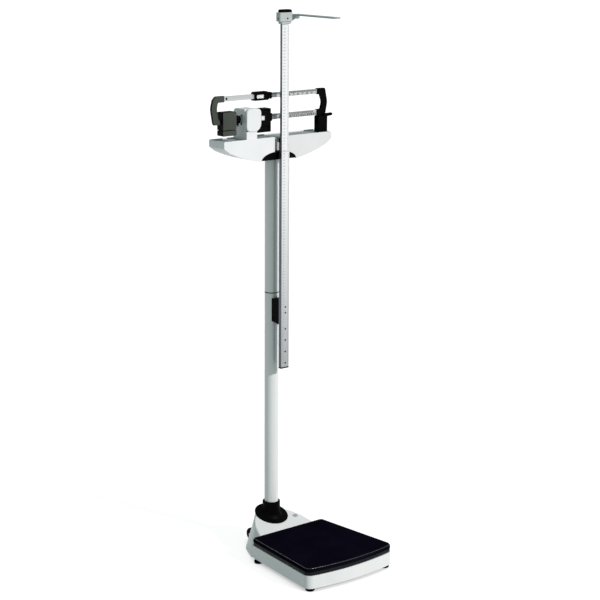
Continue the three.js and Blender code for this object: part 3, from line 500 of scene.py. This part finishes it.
def kept_shapes():
    """Every node that keeps its CAD shape: with rounded edges, or as it is where it hardly shows."""
    for node, width in ROUNDING.items():
        made = stand_for(node, round_edges(from_node(node), width * MM), OWN_FINISH.get(node))
        if node in PAINTED_LIT_FACED:
            light_faces(made.data)
        if node == "head_arm":
            made.visible_shadow = False  # the photographed rod has no shadow on it
    for node in UNCHANGED:
        materials = frame["nodes"][node].data.materials
        materials.clear()
        materials.append(FINISH[SLOT_OF[node]])


kept_shapes()


# ---- column ----

def tube_profile(outer, inner, low, high, lip=0.5 * MM):
    """A tube's wall in section, with eased rims."""
    return [(outer - lip, low), (outer, low + lip), (outer, high - lip), (outer - lip, high),
            (inner + lip, high), (inner, high - lip), (inner, low + lip), (inner + lip, low)]


def upright(node):
    """The foot, at floor level, of the upright line through the middle of a node."""
    low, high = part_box(node)
    return Vector(((low.x + high.x) / 2, (low.y + high.y) / 2, 0))


def width_of(node):
    """How wide a node is, left to right."""
    low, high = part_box(node)
    return high.x - low.x


AXIS = upright("column_lower")
TUBE = width_of("column_lower") / 2
BORE = TUBE - 1.85 * MM


def column_tube(node, tools=()):
    """One tube of the column, less what the tools cut out."""
    low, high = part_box(node)
    wall = turned(bmesh.new(), tube_profile(TUBE, BORE, low.z, high.z), AXIS, 128, closed=True)
    stand_for(node, carve(wall, tools) if tools else wall)


def lever_slot():
    """What the transfer lever's way through the upper tube cuts out, up to the tube's top."""
    half_width, reach, drop = 0.007, 0.04, 0.004
    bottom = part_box("transfer_lever")[0].z - drop
    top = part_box("column_upper")[1].z + 0.01
    return block(bmesh.new(), (AXIS.x - reach, AXIS.y - half_width, bottom),
                 (AXIS.x + reach, AXIS.y + half_width, top))


column_tube("column_lower")
column_tube("column_upper", [lever_slot()])


# ---- boot at the foot of the column ----

TOP_RISE = 0.33  # how fast the hump's top climbs towards the back
TOP_NORMAL = Vector((0, -TOP_RISE, 1)).normalized()
TOP_AT_AXIS = 0.106
COLLAR = 0.030
FLANGE = 0.058
SCREW_CIRCLE = 0.0465


def column_boot():
    """The collar round the column and its tilted flange, with four screws."""
    foot = AXIS + UP * (TOP_AT_AXIS + 0.0005)
    flange = [(CORE, 0), (FLANGE - 0.0008, 0), (FLANGE, 0.0008), (FLANGE, 0.0022), (FLANGE - 0.0008, 0.0032),
              (FLANGE - 0.0018, 0.0036), (0.0400, 0.0042), (0.0385, 0.0048), (0.0325, 0.0112),
              (COLLAR, 0.0150), (CORE, 0.0150)]
    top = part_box("column_boot")[1].z
    collar = [(CORE, 0.097), (COLLAR, 0.097), (COLLAR, top - 0.0012), (COLLAR - 0.0004, top - 0.0004),
              (COLLAR - 0.0012, top), (CORE, top)]
    body = turned(bmesh.new(), flange, foot, 96, TOP_NORMAL)
    body = carve(body, [turned(bmesh.new(), collar, AXIS, 96)], "UNION")
    body = carve(body, [cylinder(AXIS, TUBE + 0.0003, 0.07, 0.19, 96)])
    stand_for("column_boot", round_edges(body, 0.3 * MM, least=50))
    for k, angle in enumerate((-150, -78, -12, 62)):
        a = math.radians(angle)
        across = Vector((math.cos(a), math.sin(a), 0)) * SCREW_CIRCLE
        spot = foot + across + UP * (TOP_RISE * across.y) + TOP_NORMAL * 0.0040
        screw(f"boot_screw_{k}", spot, TOP_NORMAL, 0.0030, "frame")


column_boot()


# ---- base housing ----

REAR_EDGE, REAR_HALF, REAR_CORNER = -0.088, 0.151, 0.012
FRONT_EDGE, FRONT_HALF, FRONT_CORNER, BULGE = -0.421, 0.183, 0.024, 0.019
HOUSING_LOW, HOUSING_HIGH = 0.011, 0.055
WALL = 0.0035


def plate_outline(inset, z):
    """The platform's plan, drawn in by inset, at a height."""
    rear, front = REAR_HALF - inset, FRONT_HALF - inset
    rear_round, front_round = max(REAR_CORNER - inset, 0.002), max(FRONT_CORNER - inset, 0.004)
    across = [k / 12 for k in range(-9, 10)]
    corners = [(-rear, REAR_EDGE - inset, rear_round), (-front, FRONT_EDGE + inset, front_round),
               *[(t * front, FRONT_EDGE + inset - BULGE * (1 - t * t)) for t in across],
               (front, FRONT_EDGE + inset, front_round), (rear, REAR_EDGE - inset, rear_round)]
    return [Vector((p.x + AXIS.x, p.y + AXIS.y, z)) for p in rounded(corners, 10)]


HUMP = (  # half outlines of the hump in mm, front to back, at three heights in metres
    (0.011, ((152, -86.5), (147, -72), (134, -43), (119, -12), (96, 16), (70, 41), (38, 64), (0, 72))),
    (0.060, ((126, -86.5), (121, -70), (112, -40), (96, -8), (74, 18), (51, 43), (31, 59), (0, 65))),
    (0.135, ((70, -86.5), (82, -70), (84, -40), (68, -8), (45, 18), (31, 40), (14, 51), (0, 54))),
)


def spline(points, per_span=6):
    """A Catmull-Rom curve through points, ends included."""
    ends = [points[0] * 2 - points[1], *points, points[-1] * 2 - points[-2]]
    curve = []
    for a, b, c, d in zip(ends, ends[1:], ends[2:], ends[3:]):
        for k in range(per_span):
            t = k / per_span
            curve.append(0.5 * (2 * b + (c - a) * t + (2 * a - 5 * b + 4 * c - d) * t * t
                                + (3 * b - a - 3 * c + d) * t * t * t))
    return curve + [points[-1]]


def hump_meridians(inset):
    """For each point round the hump, its side's points at the three heights, drawn in by inset."""
    levels = []
    for z, half in HUMP:
        right = [Vector((x * MM, y * MM, z)) for x, y in half]
        whole = right + [Vector((-p.x, p.y, p.z)) for p in right[-2::-1]]
        levels.append(spline(whole))
    meridians = []
    for low, middle, high in zip(*levels):
        out = Vector((middle.x, max(middle.y, 0) * 1.2, 0)).normalized() * inset
        meridians.append([p - out for p in (low, middle, high)])
    return meridians


def on_side(three, z):
    """The point at height z on the parabola through a side's three points."""
    a, b, c = three
    la = (z - b.z) * (z - c.z) / ((a.z - b.z) * (a.z - c.z))
    lb = (z - a.z) * (z - c.z) / ((b.z - a.z) * (b.z - c.z))
    lc = (z - a.z) * (z - b.z) / ((c.z - a.z) * (c.z - b.z))
    return a * la + b * lb + c * lc


def rim_height(three, top):
    """Where a side meets the sloping top, found by going back and forth between the two."""
    z = top
    for _ in range(12):
        z = top + TOP_RISE * on_side(three, z).y
    return z


def hump(inset, bottom, fillet=0.006, steps=5):
    """The hump as a solid with a sloping top and a rounded upper edge."""
    sides = hump_meridians(inset)
    rims = [rim_height(three, TOP_AT_AXIS - inset) for three in sides]
    loops = []
    for share in (0, 0.12, 0.25, 0.4, 0.55, 0.7, 0.85, 1):
        loops.append([on_side(three, bottom + (rim - fillet - bottom) * share)
                      for three, rim in zip(sides, rims)])
    centre = Vector((0, -0.03, 0))
    for k in range(1, steps + 1):
        a = math.pi / 2 * k / steps
        loop = []
        for three, rim in zip(sides, rims):
            edge = on_side(three, rim - fillet * (1 - math.sin(a)))
            inward = (centre - Vector((edge.x, edge.y, 0))).normalized() * fillet * (1 - math.cos(a))
            loop.append(edge + inward + UP * (TOP_RISE * inward.y * math.sin(a)))
        loops.append(loop)
    return rings(bmesh.new(), [[p + AXIS for p in loop] for loop in loops])


def housing_body():
    """The skirt round the platform, the hump behind it and the wall between them, as one shell."""
    rim = [(0.0003, HOUSING_LOW), (-0.0005, HOUSING_LOW + 0.0008), (-0.0005, HOUSING_HIGH - 0.0012),
           (0.0003, HOUSING_HIGH - 0.0003), (0.0012, HOUSING_HIGH)]
    skirt = rings(bmesh.new(), [plate_outline(inset, z) for inset, z in rim])
    inside = rings(bmesh.new(), [plate_outline(WALL, z) for z in (HOUSING_LOW - 0.01, HOUSING_HIGH + 0.01)])
    dome = carve(hump(0, HOUSING_LOW + 0.0003), [hump(WALL, HOUSING_LOW - 0.004)])
    half_bridge = 0.149
    bridge = block(bmesh.new(), (AXIS.x - half_bridge, AXIS.y - 0.091, HOUSING_LOW + 0.0006),
                   (AXIS.x + half_bridge, AXIS.y - 0.084, HOUSING_HIGH - 0.0004))
    return carve(carve(skirt, [inside]), [dome, bridge], "UNION")


def housing_openings():
    """The levers' doorway, the collar's hole, the castors' notches and the spirit level's hole."""
    x, y = AXIS.x, AXIS.y
    half_door, half_notch = 0.128, 0.018
    tools = [block(bmesh.new(), (x - half_door, y - 0.100, HOUSING_LOW - 0.01),
                   (x + half_door, y - 0.080, HOUSING_HIGH - 0.004)),
             cylinder(AXIS, COLLAR + 0.003, 0.06, 0.18, 64)]
    for node in ("castor_left", "castor_right"):
        middle = upright(node).x
        tools.append(block(bmesh.new(), (middle - half_notch, y + 0.034, -0.01),
                           (middle + half_notch, y + 0.1, 0.052)))
    tools.append(cylinder(upright("level_body"), 0.0094, 0.06, 0.13, 48))
    return tools


stand_for("base_housing", round_edges(carve(housing_body(), housing_openings()), 0.5 * MM, least=45))


# ---- platform mat, with the plate's rim under it ----

def platform_mat():
    """The mat's top and side, hollow under the top, and the steel band that shows below its edge."""
    low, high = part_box("platform_mat")
    split = low.z + 0.0108
    thick = 0.0032
    outside = [(0.0012, split), (0.0003, split + 0.0006), (0, split + 0.0016), (0, high.z - 0.0062),
               (0.0004, high.z - 0.0045), (0.0013, high.z - 0.0031), (0.0028, high.z - 0.0020),
               (0.0052, high.z - 0.0012), (0.0105, high.z - 0.0004), (0.0120, high.z), (0.0135, high.z),
               (0.0142, high.z - 0.0004), (0.0150, high.z - 0.0004)]
    body = rings(bmesh.new(), [plate_outline(inset, z) for inset, z in outside])
    hollow = rings(bmesh.new(), [plate_outline(thick, z) for z in (split - 0.01, high.z - thick)])
    stand_for("platform_mat", carve(body, [hollow]))
    band = [(0.0016, low.z), (0.0010, low.z + 0.0008), (0.0010, split - 0.0009), (0.0016, split - 0.0003),
            (0.0030, split - 0.0003), (0.0030, low.z)]
    skirt = rings(bmesh.new(), [plate_outline(inset, z) for inset, z in band], closed=True)
    piece("mat_rim_band", skirt, "platform", FINISH["platform_steel"], "platform_steel")


def mat_bead():
    """The smooth raised bead round the mat's top edge."""
    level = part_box("platform_mat")[1].z - 0.0016
    inset, radius, sides = 0.0034, 0.0011, 10
    angles = [2 * math.pi * k / sides for k in range(sides)]
    loops = [plate_outline(inset + radius * math.cos(a), level + radius * math.sin(a)) for a in angles]
    piece("mat_bead", rings(bmesh.new(), loops, closed=True), "platform", GLOSSY_RUBBER, "mat_rubber")


platform_mat()
mat_bead()


# ---- feet, castors and spirit level ----

def levelling_foot(node):
    """A rubber foot with a groove round it, on its stud."""
    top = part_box(node)[1].z
    stud = 0.0040
    profile = [(CORE, 0), (0.0125, 0), (0.0138, 0.0006), (0.0148, 0.0018), (0.0150, 0.0030), (0.0146, 0.0036),
               (0.0146, 0.0042), (0.0150, 0.0048), (0.0150, 0.0078), (0.0145, 0.0092), (0.0132, 0.0100),
               (stud, 0.0100), (stud, top - 0.0005), (stud - 0.0005, top), (CORE, top)]
    stand_for(node, turned(bmesh.new(), profile, upright(node), 64))


def castor(node):
    """A wheel with a round tread and a dished web, about its axle."""
    low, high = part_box(node)
    half, radius = (high.x - low.x) / 2, (high.z - low.z) / 2
    side = [(0.0041, -half), (0.0075, -half), (0.0080, -half + 0.0006), (0.0082, -half + 0.0022),
            (radius - 0.0055, -half + 0.0022), (radius - 0.0050, -half + 0.0006), (radius - 0.0040, -half),
            (radius - 0.0012, -half + 0.0004), (radius - 0.0002, -half + 0.0020), (radius, -half + 0.0040)]
    profile = side + [(r, -h) for r, h in side[::-1]]
    stand_for(node, turned(bmesh.new(), profile, (low + high) / 2, 72, RIGHT, closed=True))


def spirit_level():
    """The vial's domed window, with a printed ring and a bubble in it."""
    low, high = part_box("level_vial")
    at = upright("level_vial")
    dome = [(CORE, low.z), (0.0062, low.z), (0.0063, high.z - 0.0012), (0.0055, high.z - 0.0004),
            (0.0030, high.z - 0.0001), (CORE, high.z)]
    stand_for("level_vial", turned(bmesh.new(), dome, at, 48), LIQUID)
    for name, inner, outer, finish in (("level_ring", 0.0026, 0.0030, INK_BLACK),
                                       ("level_bubble", CORE, 0.0019, LABEL_WHITE)):
        section = tube_profile(outer, inner, high.z - 0.0003, high.z + 0.0002, 0.02 * MM)
        piece(name, turned(bmesh.new(), section, at, 40, closed=True), "frame", finish)


for node in ("foot_front_left", "foot_front_right", "foot_rear_left", "foot_rear_right"):
    levelling_foot(node)
for node in ("castor_left", "castor_right"):
    castor(node)
spirit_level()


# ---- height rod ----

HOLE = 0.0032
HOLE_RISES = (0.014, 0.053, 0.0925, 0.131, 0.186, 0.2055)  # the holes' heights above the outer rod's foot
READING = 1.723  # the height above the mat that the rod shows at rest
MAT_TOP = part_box("platform_mat")[1].z
ROD_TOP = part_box("rod_outer")[1].z
STRIP_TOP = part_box("head_slide")[0].z - 0.0005


def rod_section(bm, low, high, wall, corner):
    """A hollow bar with rounded long edges between two corners of its box."""
    ease = 0.0003
    loops = []
    for inset, z in ((ease, low.z), (0, low.z + ease), (0, high.z - ease), (ease, high.z),
                     (wall - 0.0002, high.z), (wall, high.z - 0.0002), (wall, low.z + 0.0002),
                     (wall - 0.0002, low.z)):
        radius = max(corner - inset, 0.0004)
        left, right, front, back = low.x + inset, high.x - inset, low.y + inset, high.y - inset
        flat = rounded([(left, front, radius), (right, front, radius), (right, back, radius),
                        (left, back, radius)], 5)
        loops.append([Vector((p.x, p.y, z)) for p in flat])
    return rings(bm, loops, closed=True)


def scale_strip(name, node, top, edge, finish, holes=()):
    """The light scale strip on the front of a rod."""
    low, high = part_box(node)
    strip = block(bmesh.new(), (low.x + edge, low.y - 0.00002, low.z + 0.0005),
                  (high.x - edge, low.y + 0.0006, top))
    tools = [cylinder(at, HOLE, -0.01, 0.01, 32, FRONT) for at in holes]
    strip = carve(strip, tools) if tools else strip
    piece(name, strip, BODY_OF[node], finish, "rod_aluminium")


def outer_rod():
    """The outer rod with its holes, their black plugs and its scale strip."""
    low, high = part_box("rod_outer")
    middle = (low.x + high.x) / 2
    holes = [Vector((middle + 0.0015, low.y, low.z + rise)) for rise in HOLE_RISES]
    for k, at in enumerate(holes):
        rivet(f"rod_hole_plug_{k}", at + Vector((0, 0.0008, 0)), HOLE - 0.0001, "frame")
    drills = [cylinder(at, HOLE, -0.003, 0.003, 32, FRONT) for at in holes]
    stand_for("rod_outer", carve(rod_section(bmesh.new(), low, high, 0.0016, 0.0012), drills))
    scale_strip("rod_outer_strip", "rod_outer", ROD_TOP - 0.0005, 0.0010, LOWER_SCALE_FACE_PAINTED_SHADE, holes)


def inner_rod():
    """The inner rod and its scale strip, which ends under the head slide."""
    low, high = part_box("rod_inner")
    stand_for("rod_inner", rod_section(bmesh.new(), low, high, 0.0014, 0.0010))
    scale_strip("rod_inner_strip", "rod_inner", STRIP_TOP, 0.0008, SCALE_FACE)


def rod_scale(name, node, start, end, reading):
    """Millimetre lines and centimetre numbers up a rod's front; reading turns a height into what it shows."""
    low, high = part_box(node)
    line = 0.00028
    bm = bmesh.new()
    for step in range(math.ceil(start / MM), math.floor(end / MM)):
        z = step * MM
        shown = round(reading(z) / MM)
        length = 0.0062 if shown % 10 == 0 else 0.0046 if shown % 5 == 0 else 0.0030
        tick(bm, Vector((high.x - 0.0022 - length / 2, low.y, z)), length, line)
        if shown % 10 == 0:
            number(bm, str(shown // 10), 0.0040, Vector((low.x + 0.0092, low.y, z)))
    piece(name, bm, BODY_OF[node], INK_GREY)


def index_line():
    """The red dashes at the outer rod's top that the inner rod's scale is read at."""
    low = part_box("rod_outer")[0]
    bm = bmesh.new()
    for k in range(9):
        tick(bm, Vector((low.x + 0.003 + k * 0.0034, low.y, ROD_TOP - 0.0028)), 0.0021, 0.0008)
    piece("rod_index_line", bm, "frame", INK_RED)


outer_rod()
inner_rod()
rod_scale("rod_outer_marks", "rod_outer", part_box("rod_outer")[0].z + 0.010, ROD_TOP - 0.006,
          lambda z: z - MAT_TOP)
rod_scale("rod_inner_marks", "rod_inner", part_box("rod_inner")[0].z + 0.04, STRIP_TOP - 0.004,
          lambda z: READING + ROD_TOP - z)
index_line()


# ---- head slide, beam scales, windows and beam fittings ----

def slide_screws():
    """The two dark screws sunk in the head slide's left side and front."""
    low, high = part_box("head_slide")
    radius = 0.0029
    z = high.z - 0.0195
    screw("slide_screw_side", Vector((low.x + 0.0054, low.y + 0.010, z)), -RIGHT, radius, "inner_rod")
    screw("slide_screw_front", Vector((low.x + 0.031, low.y + 0.0036, z)), FRONT, radius, "inner_rod")


def beam_scale(name, bar, poise, travel, divisions, steps, unit, named, digit, line):
    """Lines on a beam's front from the poise's right side at rest, numbered at each multiple of named."""
    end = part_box("beam_end_right")[0].x
    low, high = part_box(bar)
    top = min(high.z, low.z + 0.018)
    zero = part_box(poise)[1].x
    pitch = travel / divisions
    bm = bmesh.new()
    for k in range(divisions * steps + 1):
        x = zero + k * pitch / steps
        if x > end - 0.001:
            break
        whole = k % steps == 0
        half = k * 2 % steps == 0
        length = 0.0070 if whole else 0.0062 if half else 0.0054
        tick(bm, Vector((x, low.y, top - 0.0008 - length / 2)), line, length)
        value = k // steps * unit
        if whole and k and value % named == 0 and x < end - 0.004:
            number(bm, str(value), digit, Vector((x, low.y, low.z + 0.0012 + digit / 2)), 2.0)
    piece(name, bm, "beam", INK_BLACK)


def reading_plate(name, lens, body, slant=0.0):
    """The white plate behind a poise's window, its left end pointed by slant, with an index line and a 0."""
    low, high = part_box(lens)
    middle, level, height = (low.x + high.x) / 2, (low.z + high.z) / 2, high.z - low.z
    back = high.y + 0.0002
    index = middle + 0.0045
    plate = round_edges(block(bmesh.new(), (low.x + 0.0006, back, low.z + 0.0002),
                              (high.x - 0.0002, back + 0.0008, high.z - 0.0002)), 0.0002)
    for vert in plate.verts:
        if vert.co.x < low.x + 0.003:
            vert.co.x += slant * abs(vert.co.z - level) / height * 2
    piece(name, plate, body, LABEL_WHITE)
    bm = bmesh.new()
    tick(bm, Vector((index, back, level)), 0.0005, height * 0.72)
    for side in (-1, 1):
        for k, length in ((1, 0.0022), (2, 0.0022), (3, 0.0034)):
            tick(bm, Vector((index + side * k * 0.0014, back, high.z - 0.0015 - length / 2)), 0.0003, length)
    number(bm, "0", 0.0052, Vector((middle - 0.0035, back, level - 0.0006)), 1.1)
    piece(name + "_marks", bm, body, INK_GREY)


def weight_rail():
    """The rail under the fixed weight that the small zero weight hangs from."""
    low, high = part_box("counterweight")
    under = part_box("zero_weight")[1].z
    margin = 0.003
    rail = block(bmesh.new(), (low.x + margin, low.y + margin, under + 0.0002),
                 (high.x - margin, high.y - margin, low.z))
    piece("weight_rail", round_edges(rail, 0.2 * MM), "beam", FINISH["dark_iron"], "dark_iron")


def beam_collar():
    """The oval black collar on the lower beam between the fixed weight and the pillar."""
    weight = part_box("counterweight")[1].x
    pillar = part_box("pillar_body")[0].x
    low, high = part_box("beam_lower")
    middle = Vector((0, (low.y + high.y) / 2, (low.z + high.z) / 2 - 0.001))
    half_depth, half_height, sides, gap = 0.0075, 0.0125, 40, 0.0001
    angles = [2 * math.pi * k / sides for k in range(sides)]
    loops = []
    for x, shrink in ((weight + 0.0004, 0.001), (weight + 0.0014, 0),
                      (pillar - 0.0070, 0), (pillar - 0.0060, 0.001)):
        depth, height = half_depth - shrink, half_height - shrink
        loops.append([middle + Vector((x, depth * math.cos(a), height * math.sin(a))) for a in angles])
    bore = block(bmesh.new(), (weight - 0.01, low.y - gap, low.z - gap),
                 (pillar + 0.01, high.y + gap, low.z + 0.0181))
    collar = carve(rings(bmesh.new(), loops), [bore])
    piece("beam_collar", collar, "beam", FINISH["black_plastic"], "black_plastic")


def beam_rivet():
    """The dark rivet near the upper beam's left end."""
    low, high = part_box("beam_upper")
    rivet("beam_rivet", Vector((low.x + 0.026, low.y, (low.z + high.z) / 2)), 0.0038, "beam")


slide_screws()
beam_scale("beam_upper_marks", "beam_upper", "poise_small", travel=0.188, divisions=10, steps=10,
           unit=1, named=1, digit=0.0076, line=0.0012)
beam_scale("beam_lower_marks", "beam_lower", "poise_large", travel=0.176, divisions=20, steps=2,
           unit=10, named=20, digit=0.0088, line=0.0026)
reading_plate("small_plate", "poise_small_lens", "small_poise", slant=0.0042)
reading_plate("large_plate", "poise_large_lens", "large_poise")
weight_rail()
beam_collar()
beam_rivet()


# ---- stage, light and camera ----

FLOOR_SIDE = 90
CONTACT_REACH = 0.045  # how far from a foot the floor starts to darken, a painted contact shadow
DIM, BRIGHT = 0.42, 0.86  # the floor's glow under a foot, dimmed as painted contact shadow, and in the open
WORLD_TINT, WORLD_STRENGTH = (0.84, 1.0, 0.985, 1), 0.44
SUN_TINT, SUN_STRENGTH, SUN_SPREAD = (1.0, 0.93, 0.94), 3.25, 3
SUN_HEADING, SUN_HEIGHT = 16, 31  # degrees
LENS = 103.04  # in mm, for a sensor 36 mm wide
HEADING, DIP, ROLL = -39.13, 13.21, 0.32  # degrees
CAMERA_SPOT = (-3.43642, -4.21053, 2.17227)


def stage():
    """A pale floor that darkens a little close to what stands on it, a painted contact shadow."""
    bpy.ops.mesh.primitive_plane_add(size=FLOOR_SIDE, location=(0, 0, 0))
    floor = bpy.context.object
    floor.name = "floor"
    material, shade, new, link = shader("floor_pale")
    tone = toned(new, link, noise(new, link, 0.6), (0.3, 0.3, 0.3), (0.31, 0.31, 0.31))
    link(tone, shade.inputs["Base Color"])
    shade.inputs["Roughness"].default_value = 0.9
    shade.inputs["Specular IOR Level"].default_value = 0.0
    shade.inputs["Emission Color"].default_value = (1, 1, 1, 1)
    # painted contact shadow: occlusion dims the floor's glow near what stands on it
    near = new("ShaderNodeAmbientOcclusion")
    near.samples = 8
    near.inputs["Distance"].default_value = CONTACT_REACH
    glow = new("ShaderNodeMapRange")
    glow.inputs["From Min"].default_value = 0.1
    glow.inputs["From Max"].default_value = 0.8
    glow.inputs["To Min"].default_value = DIM
    glow.inputs["To Max"].default_value = BRIGHT
    link(near.outputs["AO"], glow.inputs["Value"])
    link(glow.outputs["Result"], shade.inputs["Emission Strength"])
    floor.data.materials.append(material)
    floor.visible_diffuse = False


def direction(heading, height):
    """The way out to a point of the sky: degrees round from -Y towards +X, and degrees above the floor."""
    turn, up = math.radians(heading), math.radians(height)
    return Vector((math.sin(turn) * math.cos(up), -math.cos(turn) * math.cos(up), math.sin(up)))


def lights():
    """An even sky and one soft sun, in front and a little to the right."""
    world = bpy.data.worlds.new("studio")
    world.use_nodes = True
    background = world.node_tree.nodes["Background"]
    background.inputs["Color"].default_value = WORLD_TINT
    background.inputs["Strength"].default_value = WORLD_STRENGTH
    bpy.context.scene.world = world
    key = bpy.data.lights.new("key", "SUN")
    key.energy = SUN_STRENGTH
    key.color = SUN_TINT
    key.angle = math.radians(SUN_SPREAD)
    lamp = bpy.data.objects.new("key", key)
    lamp.rotation_euler = direction(SUN_HEADING, SUN_HEIGHT).to_track_quat("Z", "Y").to_euler()
    bpy.context.scene.collection.objects.link(lamp)


def camera():
    """The photograph's viewpoint."""
    lens = bpy.data.cameras.new("camera")
    lens.lens = LENS
    lens.sensor_width = 36
    lens.clip_end = 200
    seat = bpy.data.objects.new("camera", lens)
    forward = -direction(HEADING, DIP)
    right = Vector((math.cos(math.radians(HEADING)), math.sin(math.radians(HEADING)), 0))
    up = right.cross(forward)
    roll = math.radians(ROLL)
    side = right * math.cos(roll) + up * math.sin(roll)
    head = up * math.cos(roll) - right * math.sin(roll)
    turn = Matrix((side, head, -forward)).transposed()
    seat.matrix_world = Matrix.Translation(CAMERA_SPOT) @ turn.to_4x4()
    bpy.context.scene.collection.objects.link(seat)
    bpy.context.scene.camera = seat


stage()
lights()
camera()
bpy.context.scene.view_settings.view_transform = "Standard"
